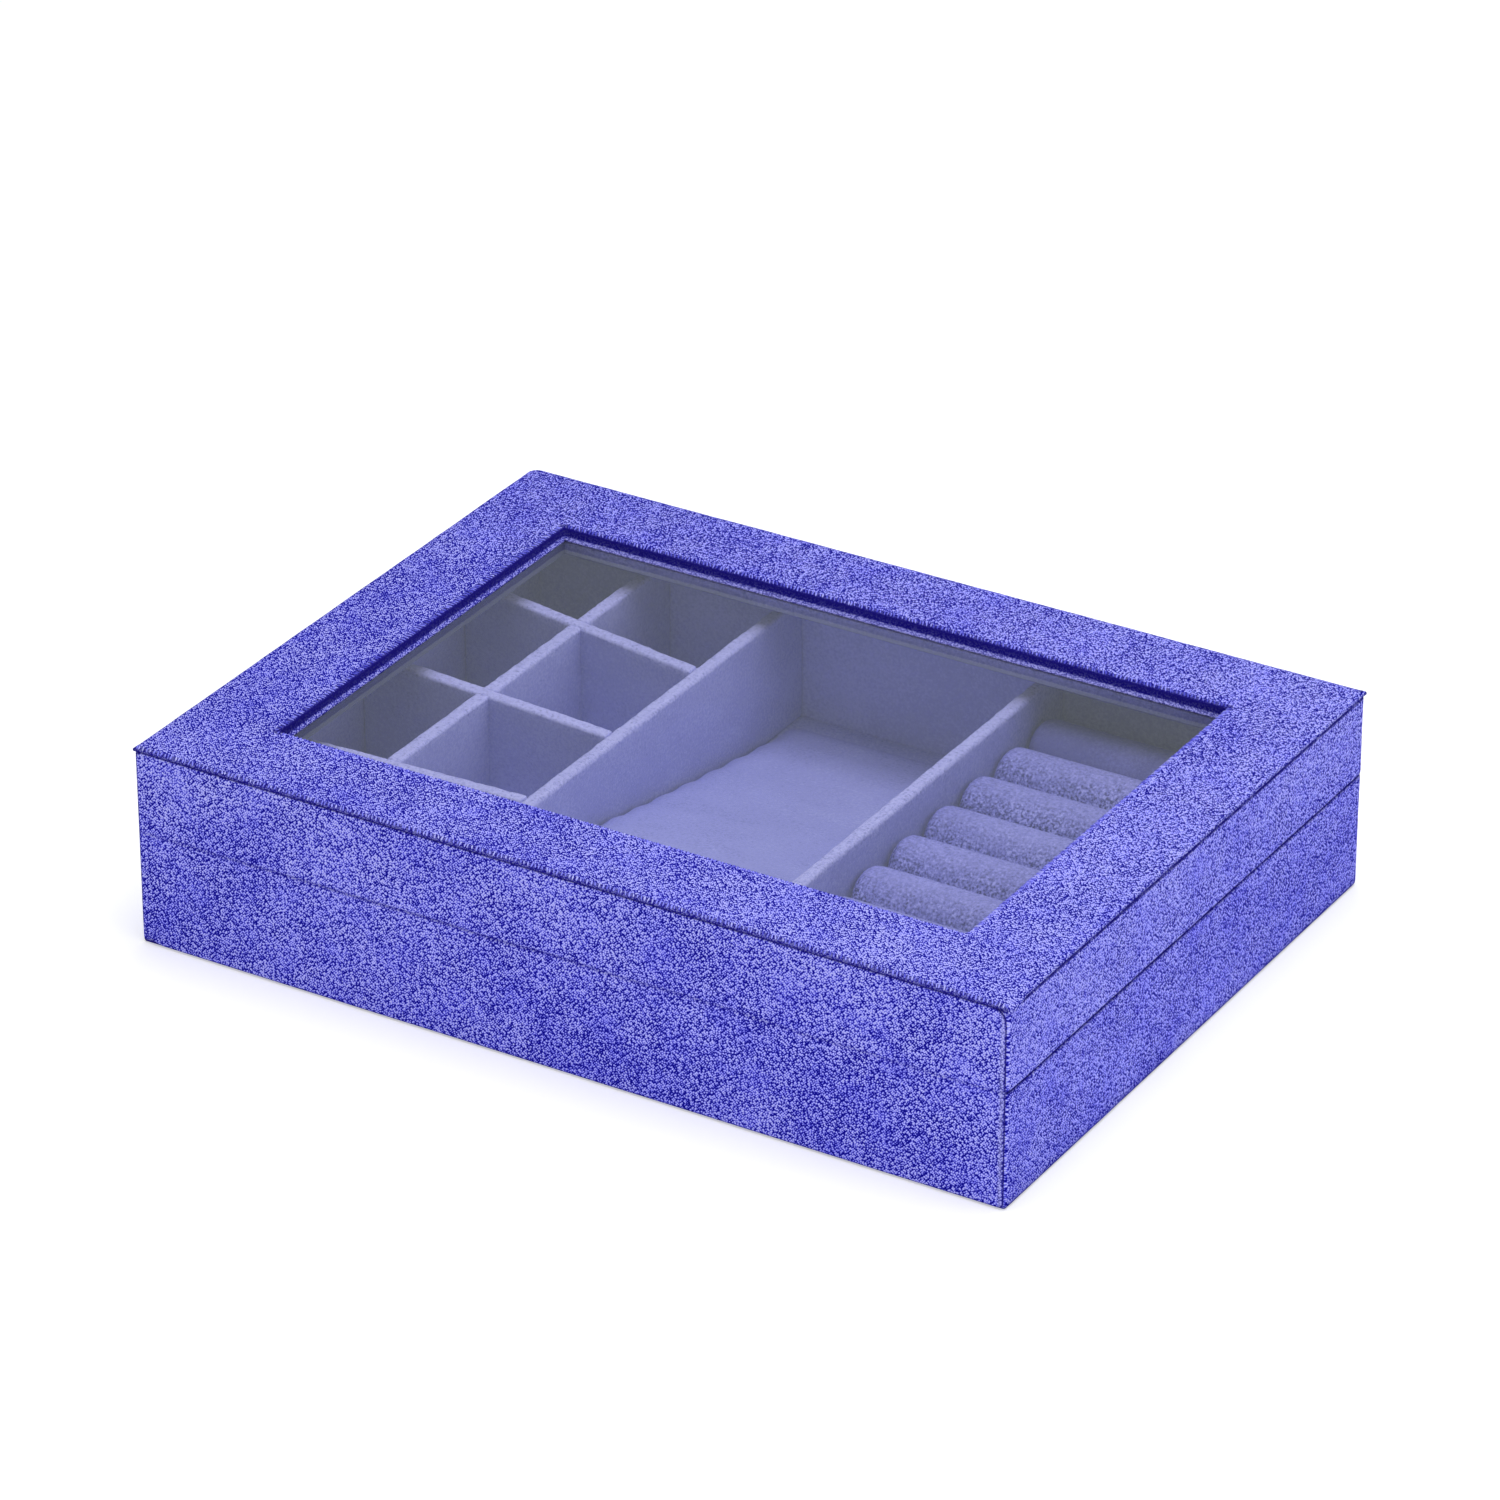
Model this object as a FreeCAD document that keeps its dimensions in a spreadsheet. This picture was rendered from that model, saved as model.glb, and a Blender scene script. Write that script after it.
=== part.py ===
import FreeCAD, Part
import os
import Sketcher

# A velvet-covered jewelry box with a glass window in its lid. It stands on the middle of its underside:
# X runs along the long side, -Y is the side with the cloth hinge, +Y the opening front, Z is up.

SIZES = {
    # outside of the closed box
    "length": "280",
    "depth": "208",
    "base_height": "36.2",
    "lid_height": "26.2",
    "rim_gap": "0.3",
    # layers of the walls and the bottom, from outside to inside
    "velvet": "0.8",
    "wall_board": "3.2",
    "lining": "2",
    "underside_cloth": "0.8",
    "bottom_board": "3.2",
    "floor_lining": "2",
    "rebate": "1.6",
    "edge_round": "1.2",
    "sheet_round": "0.5",
    # the neck of linings that the lid closes over
    "neck_height": "11",
    "neck_clearance": "0.8",
    "neck_round": "0.7",
    # window frame and glass
    "frame_width": "29.4",
    "frame_board": "3",
    "glass": "2",
    "glass_lip": "8",
    "glass_clearance": "0.3",
    "retainer": "1.5",
    "lid_lining": "0.4",
    # dividers, which end a little below the neck, and the section between the two long ones
    "middle_section": "83.6",
    "long_divider": "4.5",
    "cell_divider": "4.5",
    "divider_drop": "1.8",
    "divider_round": "1",
    "slot_clearance": "0.1",
    # ring rolls and the bed under them
    "ring_bed": "13",
    "roll_margin": "7.1",
    "roll_gap": "0.4",
    "roll_flat": "0.9",
    "roll_end_round": "3",
    "soft_clearance": "0.3",
    # display ramp of the middle section
    "ramp_low": "0.8",
    "ramp_high": "38",
    "ramp_hollow": "2.4",
    # cloth hinge
    "hinge_half_width": "7",
    # overrun of cutting tools
    "cut_overrun": "1",
}
CELL_ROW_COUNT = 4
ROLL_COUNT = 9
# how far along its rounding a roll's end has come, and how far it still is inside the full radius there
ROLL_END_SHARES = ((0, 1), (0.14, 0.5), (0.48, 0.15), (1, 0))
# two edges lie on one line when they differ by no more than this
SAME_PLACE = 1e-6

doc = FreeCAD.newDocument("velvet_jewelry_box")
sheet = doc.addObject("Spreadsheet::Sheet", "Sizes")
for row, (alias, size) in enumerate(SIZES.items(), start=1):
    sheet.set(f"A{row}", size)
    sheet.setAlias(f"A{row}", alias)
doc.recompute()
pieces = []


def number(expression):
    """The present value of an expression over the sheet."""
    return float(sheet.evalExpression(expression))


def within(half, *layers):
    """The place that lies inside half of an outside size by the given layers."""
    return "(" + " - ".join([half] + [f"Sizes.{layer}" for layer in layers]) + ")"


# Places along X and Y, from the middle of the box outwards
OUTER_X = "(Sizes.length / 2)"
OUTER_Y = "(Sizes.depth / 2)"
BOARD_X = within(OUTER_X, "velvet")
BOARD_Y = within(OUTER_Y, "velvet")
NECK_X = within(OUTER_X, "velvet", "wall_board")
NECK_Y = within(OUTER_Y, "velvet", "wall_board")
INSIDE_X = within(OUTER_X, "velvet", "wall_board", "lining")
INSIDE_Y = within(OUTER_Y, "velvet", "wall_board", "lining")
LID_INSIDE_X = f"({NECK_X} + Sizes.neck_clearance)"
LID_INSIDE_Y = f"({NECK_Y} + Sizes.neck_clearance)"
LID_BOARD_X = f"({LID_INSIDE_X} + Sizes.lid_lining)"
LID_BOARD_Y = f"({LID_INSIDE_Y} + Sizes.lid_lining)"
WINDOW_X = within(OUTER_X, "frame_width")
WINDOW_Y = within(OUTER_Y, "frame_width")
RAIL_X = f"({WINDOW_X} + Sizes.velvet)"
RAIL_Y = f"({WINDOW_Y} + Sizes.velvet)"

# Heights, from the underside up
BOTTOM_TOP = "(Sizes.underside_cloth + Sizes.bottom_board)"
FLOOR = f"({BOTTOM_TOP} + Sizes.floor_lining)"
BASE_RIM = "(Sizes.base_height - Sizes.rim_gap / 2)"
LID_RIM = "(Sizes.base_height + Sizes.rim_gap / 2)"
NECK_TOP = "(Sizes.base_height + Sizes.neck_height)"
SHEET_UNDER = "(Sizes.base_height + Sizes.lid_height - Sizes.velvet)"
FRAME_UNDER = f"({SHEET_UNDER} - Sizes.frame_board)"
GLASS_UNDER = f"({FRAME_UNDER} - Sizes.glass)"
RETAINER_UNDER = f"({GLASS_UNDER} - Sizes.retainer)"
DIVIDER_HEIGHT = f"({NECK_TOP} - Sizes.divider_drop - {FLOOR})"
BED_TOP = f"({FLOOR} + Sizes.ring_bed)"
ROLL_PITCH = f"((2 * {INSIDE_Y} - 2 * Sizes.roll_margin) / {ROLL_COUNT})"
ROLL_RADIUS = f"(({ROLL_PITCH} - Sizes.roll_gap) / 2)"

# The places of the two long dividers, and the length of the sections beside them
DIVIDER_INNER_X = "(Sizes.middle_section / 2)"
DIVIDER_OUTER_X = "(Sizes.middle_section / 2 + Sizes.long_divider)"
SECTION = f"({INSIDE_X} - {DIVIDER_OUTER_X})"
CELL_DEPTH = f"((2 * {INSIDE_Y} - {CELL_ROW_COUNT - 1} * Sizes.cell_divider) / {CELL_ROW_COUNT})"


def board(label, x_span, y_span, z_span):
    """A square-edged piece between three pairs of places."""
    piece = doc.addObject("Part::Box", label)
    sides = zip(("Length", "Width", "Height"), "xyz", (x_span, y_span, z_span))
    for side, axis, (low, high) in sides:
        piece.setExpression(side, f"{high} - ({low})")
        piece.setExpression(f"Placement.Base.{axis}", low)
    return piece


def body_at(label, x, y, z):
    """An empty body whose own corner stands at the given place."""
    body = doc.addObject("PartDesign::Body", label)
    for axis, place in zip("xyz", (x, y, z)):
        body.setExpression(f"Placement.Base.{axis}", place)
    return body


def sketch_on(body, role, lift="0"):
    """An empty sketch on one of the body's own planes, lifted off it along its normal."""
    sketch = body.newObject("Sketcher::SketchObject", f"{body.Name}_sketch")
    plane = next(item for item in body.Origin.OriginFeatures if item.Role == role)
    sketch.AttachmentSupport = (plane, "")
    sketch.MapMode = "FlatFace"
    sketch.setExpression("AttachmentOffset.Base.z", lift)
    return sketch


def hold(sketch, line, across, up):
    """Hold the first end of a sketched line at two places, each of which may be on an axis."""
    for kind, place, axis in (("DistanceX", across, -2), ("DistanceY", up, -1)):
        if place == "0":
            sketch.addConstraint(Sketcher.Constraint("PointOnObject", line, 1, axis))
        else:
            limit = Sketcher.Constraint(kind, -1, 1, line, 1, number(place))
            spot = sketch.addConstraint(limit)
            sketch.setExpression(f"Constraints[{spot}]", place)


def add_loop(sketch, corners):
    """A closed loop of straight lines through corners, each corner a pair of places."""
    first = sketch.GeometryCount
    points = [FreeCAD.Vector(number(across), number(up), 0) for across, up in corners]
    for start, end in zip(points, points[1:] + points[:1]):
        sketch.addGeometry(Part.LineSegment(start, end), False)
    for step, (across, up) in enumerate(corners):
        following = first + (step + 1) % len(corners)
        sketch.addConstraint(Sketcher.Constraint("Coincident", first + step, 2, following, 1))
        hold(sketch, first + step, across, up)


def add_pad(body, sketch, length):
    """Thicken a sketch along its plane's normal."""
    pad = body.newObject("PartDesign::Pad", f"{body.Name}_pad")
    pad.Profile = sketch
    pad.setExpression("Length", length)
    return pad


def pad_loops(body, role, loops, length, lift="0"):
    """Thicken closed loops that lie on one of the body's own planes."""
    sketch = sketch_on(body, role, lift)
    for corners in loops:
        add_loop(sketch, corners)
    return add_pad(body, sketch, length)


def round_edges(body, axis, places, radius):
    """Round the edges along an axis that stand at the given pairs of places on the other two axes."""
    doc.recompute()
    base = body.Tip
    others = [name for name in "xyz" if name != axis]
    wanted = [(number(first), number(second)) for first, second in places]
    names = []
    for count, edge in enumerate(base.Shape.Edges, start=1):
        ends = [vertex.Point for vertex in edge.Vertexes]
        for place in wanted:
            misses = [abs(getattr(end, name) - at) for end in ends for name, at in zip(others, place)]
            if max(misses) < SAME_PLACE:
                names.append(f"Edge{count}")
    fillet = body.newObject("PartDesign::Fillet", f"{body.Name}_round")
    fillet.Base = (base, names)
    fillet.setExpression("Radius", radius)
    return fillet


def round_level(body, height, radius):
    """Round all the edges that lie level at the given height."""
    doc.recompute()
    base = body.Tip
    level = number(height)
    names = []
    for count, edge in enumerate(base.Shape.Edges, start=1):
        if max(abs(vertex.Point.z - level) for vertex in edge.Vertexes) < SAME_PLACE:
            names.append(f"Edge{count}")
    fillet = body.newObject("PartDesign::Fillet", f"{body.Name}_round")
    fillet.Base = (base, names)
    fillet.setExpression("Radius", radius)
    return fillet


def rectangle(x_low, y_low, x_high, y_high):
    """The four corners of a rectangle."""
    return [(x_low, y_low), (x_high, y_low), (x_high, y_high), (x_low, y_high)]


def rebated(wide, tall, rebate, step, outer_first):
    """The section of a board with a rebate along its lower inner edge."""
    if outer_first:
        return [("0", "0"), (f"{wide} - {rebate}", "0"), (f"{wide} - {rebate}", step),
                (wide, step), (wide, tall), ("0", tall)]
    return [(rebate, "0"), (wide, "0"), (wide, tall), ("0", tall), ("0", step), (rebate, step)]


def double(half):
    """The full size between two places that mirror each other."""
    return f"(2 * {half})"


# Bottom of the base
def underside_cloth():
    cloth = body_at("underside_cloth", f"-{OUTER_X}", f"-{OUTER_Y}", "0")
    corners = rectangle("0", "0", "Sizes.length", "Sizes.depth")
    pad_loops(cloth, "XY_Plane", [corners], "Sizes.underside_cloth")
    front = [("0", "Sizes.depth"), ("Sizes.length", "Sizes.depth")]
    round_edges(cloth, "z", front, "Sizes.edge_round + Sizes.velvet")
    return cloth


def bottom_board():
    reach_x = within(BOARD_X, "wall_board") + " + Sizes.rebate"
    reach_y = within(BOARD_Y, "wall_board") + " + Sizes.rebate"
    return board("bottom_board", (f"-({reach_x})", reach_x), (f"-({reach_y})", reach_y),
                 ("Sizes.underside_cloth", BOTTOM_TOP))


def floor_lining():
    return board("floor_lining", (f"-{INSIDE_X}", INSIDE_X), (f"-{INSIDE_Y}", INSIDE_Y),
                 (BOTTOM_TOP, FLOOR))


# Wall boards of the base: front and back run through, the sides stand between them
def base_walls():
    tall = f"({BASE_RIM} - Sizes.velvet - Sizes.underside_cloth)"
    low = "Sizes.underside_cloth"
    thick = "Sizes.wall_board"
    walls = []
    through = (("base_front_wall", NECK_Y, False), ("base_back_wall", f"-{BOARD_Y}", True))
    for label, y_low, outer_first in through:
        wall = body_at(label, f"-{BOARD_X}", y_low, low)
        section = rebated(thick, tall, "Sizes.rebate", "Sizes.bottom_board", outer_first)
        pad_loops(wall, "YZ_Plane", [section], double(BOARD_X))
        if not outer_first:
            round_edges(wall, "z", [("0", thick), (double(BOARD_X), thick)], "Sizes.edge_round")
        walls.append(wall)
    between = (("base_right_wall", NECK_X, False), ("base_left_wall", f"-{BOARD_X}", True))
    for label, x_low, outer_first in between:
        wall = body_at(label, x_low, NECK_Y, low)
        section = rebated(thick, tall, "Sizes.rebate", "Sizes.bottom_board", outer_first)
        pad_loops(wall, "XZ_Plane", [section], double(NECK_Y))
        walls.append(wall)
    return walls


def wrap_skin(label, low, high):
    """Velvet round the left, front and right sides, as deep as the walls behind it."""
    cover = body_at(label, f"-{OUTER_X}", f"-{OUTER_Y}", low)
    skin = "Sizes.velvet"
    inner_x = f"(Sizes.length - {skin})"
    inner_y = f"(Sizes.depth - {skin})"
    loop = [("0", skin), (skin, skin), (skin, inner_y), (inner_x, inner_y), (inner_x, skin),
            ("Sizes.length", skin), ("Sizes.length", "Sizes.depth"), ("0", "Sizes.depth")]
    pad_loops(cover, "XY_Plane", [loop], f"{high} - {low}")
    inner = [(skin, inner_y), (inner_x, inner_y)]
    round_edges(cover, "z", inner, "Sizes.edge_round")
    return cover


def add_rim(cover, lift, board_thickness):
    """Velvet turned over the edges of all four walls, to the inner face of the boards."""
    reach = f"(Sizes.velvet + {board_thickness})"
    outer = rectangle("0", "Sizes.velvet", "Sizes.length", "Sizes.depth")
    inner = rectangle(reach, reach, f"Sizes.length - {reach}", f"Sizes.depth - {reach}")
    pad_loops(cover, "XY_Plane", [outer, inner], "Sizes.velvet", lift)
    front = [("0", "Sizes.depth"), ("Sizes.length", "Sizes.depth")]
    round_edges(cover, "z", front, "Sizes.edge_round + Sizes.velvet")
    return cover


def base_cover():
    low = "Sizes.underside_cloth"
    skin_top = f"({BASE_RIM} - Sizes.velvet)"
    cover = wrap_skin("base_cover", low, skin_top)
    return add_rim(cover, f"{skin_top} - {low}", "Sizes.wall_board")


def back_panel(label, low, high):
    """A stretch of the velvet panel on the hinge side."""
    return board(label, (f"-{OUTER_X}", OUTER_X), (f"-{OUTER_Y}", f"-{BOARD_Y}"), (low, high))


# Linings whose upper ends stand proud of the rim
def linings():
    tall = f"({NECK_TOP} - {BOTTOM_TOP})"
    made = []
    for label, y_low in (("front_lining", INSIDE_Y), ("back_lining", f"-{NECK_Y}")):
        lining = body_at(label, f"-{NECK_X}", y_low, BOTTOM_TOP)
        pad_loops(lining, "YZ_Plane", [rectangle("0", "0", "Sizes.lining", tall)], double(NECK_X))
        round_edges(lining, "x", [("0", tall), ("Sizes.lining", tall)], "Sizes.neck_round")
        made.append(lining)
    for label, x_low in (("right_lining", INSIDE_X), ("left_lining", f"-{NECK_X}")):
        lining = body_at(label, x_low, INSIDE_Y, BOTTOM_TOP)
        pad_loops(lining, "XZ_Plane", [rectangle("0", "0", "Sizes.lining", tall)], double(INSIDE_Y))
        round_edges(lining, "y", [("0", tall), ("Sizes.lining", tall)], "Sizes.neck_round")
        made.append(lining)
    return made


# Dividers
def long_divider(label, x_low):
    divider = body_at(label, x_low, INSIDE_Y, FLOOR)
    section = rectangle("0", "0", "Sizes.long_divider", DIVIDER_HEIGHT)
    pad_loops(divider, "XZ_Plane", [section], double(INSIDE_Y))
    top = [("0", DIVIDER_HEIGHT), ("Sizes.long_divider", DIVIDER_HEIGHT)]
    round_edges(divider, "y", top, "Sizes.divider_round")
    return divider


def half_lap(centre):
    """The two sides of a slot that takes a cell divider."""
    half = "(Sizes.cell_divider / 2 + Sizes.slot_clearance)"
    return f"({centre} - {half})", f"({centre} + {half})"


def cell_spine():
    """The divider along the cells, slotted from above down to half its height."""
    middle = f"(-{INSIDE_X} + {SECTION} / 2 - Sizes.cell_divider / 2)"
    spine = body_at("cell_spine", middle, f"-{INSIDE_Y}", FLOOR)
    outline = [("0", "0"), (double(INSIDE_Y), "0"), (double(INSIDE_Y), DIVIDER_HEIGHT)]
    for row in reversed(range(1, CELL_ROW_COUNT)):
        centre = f"({row} * {CELL_DEPTH} + ({row} - 1 / 2) * Sizes.cell_divider)"
        near, far = half_lap(centre)
        half_height = f"({DIVIDER_HEIGHT} / 2)"
        outline += [(far, DIVIDER_HEIGHT), (far, half_height), (near, half_height), (near, DIVIDER_HEIGHT)]
    outline.append(("0", DIVIDER_HEIGHT))
    pad_loops(spine, "YZ_Plane", [outline], "Sizes.cell_divider")
    top = [("0", DIVIDER_HEIGHT), ("Sizes.cell_divider", DIVIDER_HEIGHT)]
    round_edges(spine, "y", top, "Sizes.divider_round")
    return spine


def cell_divider(row):
    """A divider across the cells, slotted from below up to half its height."""
    far_face = f"(-{INSIDE_Y} + {row} * {CELL_DEPTH} + {row} * Sizes.cell_divider)"
    divider = body_at(f"cell_divider_{row}", f"-{INSIDE_X}", far_face, FLOOR)
    near, far = half_lap(f"({SECTION} / 2)")
    half_height = f"({DIVIDER_HEIGHT} / 2)"
    outline = [("0", "0"), (near, "0"), (near, half_height), (far, half_height), (far, "0"),
               (SECTION, "0"), (SECTION, DIVIDER_HEIGHT), ("0", DIVIDER_HEIGHT)]
    pad_loops(divider, "XZ_Plane", [outline], "Sizes.cell_divider")
    top = [("-Sizes.cell_divider", DIVIDER_HEIGHT), ("0", DIVIDER_HEIGHT)]
    round_edges(divider, "x", top, "Sizes.divider_round")
    return divider


# Ring section
def ring_bed():
    side = "Sizes.soft_clearance"
    return board("ring_bed", (f"{DIVIDER_OUTER_X} + {side}", f"{INSIDE_X} - {side}"),
                 (f"-{INSIDE_Y} + {side}", f"{INSIDE_Y} - {side}"), (FLOOR, BED_TOP))


def ring_roll(label, centre_y):
    """A padded roll with softly rounded ends, flattened where it lies on the bed."""
    low_x = f"({DIVIDER_OUTER_X} + Sizes.soft_clearance)"
    long = f"({SECTION} - 2 * Sizes.soft_clearance)"
    form = body_at(f"{label}_form", low_x, centre_y, f"{BED_TOP} - Sizes.roll_flat + {ROLL_RADIUS}")
    ends = [(f"{along} * Sizes.roll_end_round", f"{ROLL_RADIUS} - {inside} * Sizes.roll_end_round")
            for along, inside in ROLL_END_SHARES]
    outline = [("0", "0"), ("0", ends[0][1])] + ends[1:]
    outline += [(f"{long} - {along}", radius) for along, radius in reversed(ends[1:])]
    outline += [(long, ends[0][1]), (long, "0")]
    sketch = sketch_on(form, "XZ_Plane")
    add_loop(sketch, outline)
    turned = form.newObject("PartDesign::Revolution", f"{label}_turned")
    turned.Profile = sketch
    turned.ReferenceAxis = (sketch, ["H_Axis"])
    overrun = "Sizes.cut_overrun"
    flat = board(f"{label}_flat", (f"{low_x} - {overrun}", f"{low_x} + {long} + {overrun}"),
                 (f"{centre_y} - {ROLL_RADIUS}", f"{centre_y} + {ROLL_RADIUS}"),
                 (f"{BED_TOP} - Sizes.roll_flat - {overrun}", BED_TOP))
    roll = doc.addObject("Part::Cut", label)
    roll.Base = form
    roll.Tool = flat
    return roll


def ring_rolls():
    """Rolls side by side that share the depth of the section between two end margins."""
    middle = (ROLL_COUNT - 1) / 2
    places = [f"({step - middle} * {ROLL_PITCH})" for step in range(ROLL_COUNT)]
    return [ring_roll(f"ring_roll_{count}", place) for count, place in enumerate(places, start=1)]


# Middle section
def display_ramp():
    """A sloping pad, low at the front and high at the hinge side, with a slightly hollow top."""
    side = "Sizes.soft_clearance"
    run = f"(2 * {INSIDE_Y} - 2 * {side})"
    ramp = body_at("display_ramp", f"-{DIVIDER_INNER_X} + {side}", f"-{INSIDE_Y} + {side}", FLOOR)
    sketch = sketch_on(ramp, "YZ_Plane")
    high = number("Sizes.ramp_high")
    low = number("Sizes.ramp_low")
    length = number(run)
    chord = FreeCAD.Vector(length, low - high, 0)
    down = FreeCAD.Vector(chord.y, -chord.x, 0).normalize() * number("Sizes.ramp_hollow")
    back_foot = FreeCAD.Vector()
    back_top = FreeCAD.Vector(0, high, 0)
    front_foot = FreeCAD.Vector(length, 0, 0)
    front_top = back_top + chord
    sketch.addGeometry(Part.LineSegment(back_foot, front_foot), False)
    sketch.addGeometry(Part.LineSegment(front_foot, front_top), False)
    sketch.addGeometry(Part.LineSegment(back_top, back_foot), False)
    sketch.addGeometry(Part.Arc(back_top, back_top + chord / 2 + down, front_top), False)
    for first, end, second, start in ((0, 2, 1, 1), (2, 2, 0, 1), (3, 1, 2, 1), (3, 2, 1, 2)):
        sketch.addConstraint(Sketcher.Constraint("Coincident", first, end, second, start))
    hold(sketch, 0, "0", "0")
    hold(sketch, 1, run, "0")
    hold(sketch, 2, "0", "Sizes.ramp_high")
    sketch.addConstraint(Sketcher.Constraint("Vertical", 1))
    low_edge = sketch.addConstraint(Sketcher.Constraint("DistanceY", 1, 1, 1, 2, low))
    sketch.setExpression(f"Constraints[{low_edge}]", "Sizes.ramp_low")
    rise = "(Sizes.ramp_high - Sizes.ramp_low)"
    curve = f"(({run}^2 + {rise}^2) / 4 + Sizes.ramp_hollow^2) / (2 * Sizes.ramp_hollow)"
    hollow = sketch.addConstraint(Sketcher.Constraint("Radius", 3, number(curve)))
    sketch.setExpression(f"Constraints[{hollow}]", curve)
    add_pad(ramp, sketch, f"Sizes.middle_section - 2 * {side}")
    return ramp


# Wall boards of the lid, thinner than those of the base so that the lid clears the neck
def lid_walls():
    low = f"({LID_RIM} + Sizes.velvet)"
    tall = f"({FRAME_UNDER} - {low})"
    thick = f"({BOARD_Y} - {LID_BOARD_Y})"
    front = body_at("lid_front_wall", f"-{BOARD_X}", LID_BOARD_Y, low)
    pad_loops(front, "XY_Plane", [rectangle("0", "0", double(BOARD_X), thick)], tall)
    round_edges(front, "z", [("0", thick), (double(BOARD_X), thick)], "Sizes.edge_round")
    rows = (f"-{LID_BOARD_Y}", LID_BOARD_Y)
    heights = (low, FRAME_UNDER)
    return [
        front,
        board("lid_back_wall", (f"-{BOARD_X}", BOARD_X), (f"-{BOARD_Y}", f"-{LID_BOARD_Y}"), heights),
        board("lid_left_wall", (f"-{BOARD_X}", f"-{LID_BOARD_X}"), rows, heights),
        board("lid_right_wall", (LID_BOARD_X, BOARD_X), rows, heights),
    ]


# Top frame round the window: front and back rails run through, the side rails stand between them
def lid_rails():
    wide = f"({BOARD_Y} - {RAIL_Y})"
    front = body_at("lid_front_rail", f"-{BOARD_X}", RAIL_Y, FRAME_UNDER)
    pad_loops(front, "XY_Plane", [rectangle("0", "0", double(BOARD_X), wide)], "Sizes.frame_board")
    round_edges(front, "z", [("0", wide), (double(BOARD_X), wide)], "Sizes.edge_round")
    rows = (f"-{RAIL_Y}", RAIL_Y)
    heights = (FRAME_UNDER, SHEET_UNDER)
    return [
        front,
        board("lid_back_rail", (f"-{BOARD_X}", BOARD_X), (f"-{BOARD_Y}", f"-{RAIL_Y}"), heights),
        board("lid_left_rail", (f"-{BOARD_X}", f"-{RAIL_X}"), rows, heights),
        board("lid_right_rail", (RAIL_X, BOARD_X), rows, heights),
    ]


def glass_pane():
    reach_x = f"({WINDOW_X} + Sizes.glass_lip - Sizes.glass_clearance)"
    reach_y = f"({WINDOW_Y} + Sizes.glass_lip - Sizes.glass_clearance)"
    return board("glass_pane", (f"-{reach_x}", reach_x), (f"-{reach_y}", reach_y),
                 (GLASS_UNDER, FRAME_UNDER))


def glass_retainers():
    """Strips under the frame, each with a rebate in which the edge of the glass lies."""
    tall = f"({FRAME_UNDER} - {RETAINER_UNDER})"
    step = "Sizes.retainer"
    lip = "Sizes.glass_lip"
    made = []
    wide = f"({LID_BOARD_Y} - {WINDOW_Y})"
    to_front = [("0", "0"), (wide, "0"), (wide, tall), (lip, tall), (lip, step), ("0", step)]
    shelf = f"({wide} - {lip})"
    to_back = [("0", "0"), (wide, "0"), (wide, step), (shelf, step), (shelf, tall), ("0", tall)]
    rows = (("glass_retainer_front", WINDOW_Y, to_front),
            ("glass_retainer_back", f"-{LID_BOARD_Y}", to_back))
    for label, y_low, section in rows:
        strip = body_at(label, f"-{LID_BOARD_X}", y_low, RETAINER_UNDER)
        pad_loops(strip, "YZ_Plane", [section], double(LID_BOARD_X))
        made.append(strip)
    wide = f"({LID_BOARD_X} - {WINDOW_X})"
    to_right = [("0", "0"), (wide, "0"), (wide, tall), (lip, tall), (lip, step), ("0", step)]
    shelf = f"({wide} - {lip})"
    to_left = [("0", "0"), (wide, "0"), (wide, step), (shelf, step), (shelf, tall), ("0", tall)]
    rows = (("glass_retainer_right", WINDOW_X, to_right),
            ("glass_retainer_left", f"-{LID_BOARD_X}", to_left))
    for label, x_low, section in rows:
        strip = body_at(label, x_low, WINDOW_Y, RETAINER_UNDER)
        pad_loops(strip, "XZ_Plane", [section], double(WINDOW_Y))
        made.append(strip)
    return made


# Velvet of the lid
def lid_cover():
    cover = wrap_skin("lid_cover", LID_RIM, SHEET_UNDER)
    return add_rim(cover, "0", f"({BOARD_X} - {LID_BOARD_X})")


def lid_top_cover():
    """A sheet over the frame, turned down into the window as far as the glass."""
    cover = body_at("lid_top_cover", f"-{OUTER_X}", f"-{OUTER_Y}", FRAME_UNDER)
    outer = rectangle("0", "0", "Sizes.length", "Sizes.depth")
    edge = "Sizes.frame_width"
    window = rectangle(edge, edge, f"Sizes.length - {edge}", f"Sizes.depth - {edge}")
    hem = f"({edge} - Sizes.velvet)"
    around = rectangle(hem, hem, f"Sizes.length - {hem}", f"Sizes.depth - {hem}")
    pad_loops(cover, "XY_Plane", [outer, window], "Sizes.velvet", "Sizes.frame_board")
    pad_loops(cover, "XY_Plane", [around, window], "Sizes.frame_board")
    round_edges(cover, "z", outer, "Sizes.edge_round + Sizes.velvet")
    round_level(cover, "Sizes.frame_board + Sizes.velvet", "Sizes.sheet_round")
    return cover


def lid_lining():
    lining = body_at("lid_lining", f"-{LID_BOARD_X}", f"-{LID_BOARD_Y}", LID_RIM)
    skin = "Sizes.lid_lining"
    outer = rectangle("0", "0", double(LID_BOARD_X), double(LID_BOARD_Y))
    far_x = f"{double(LID_BOARD_X)} - {skin}"
    far_y = f"{double(LID_BOARD_Y)} - {skin}"
    inner = rectangle(skin, skin, far_x, far_y)
    pad_loops(lining, "XY_Plane", [outer, inner], f"{RETAINER_UNDER} - {LID_RIM}")
    return lining


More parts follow.
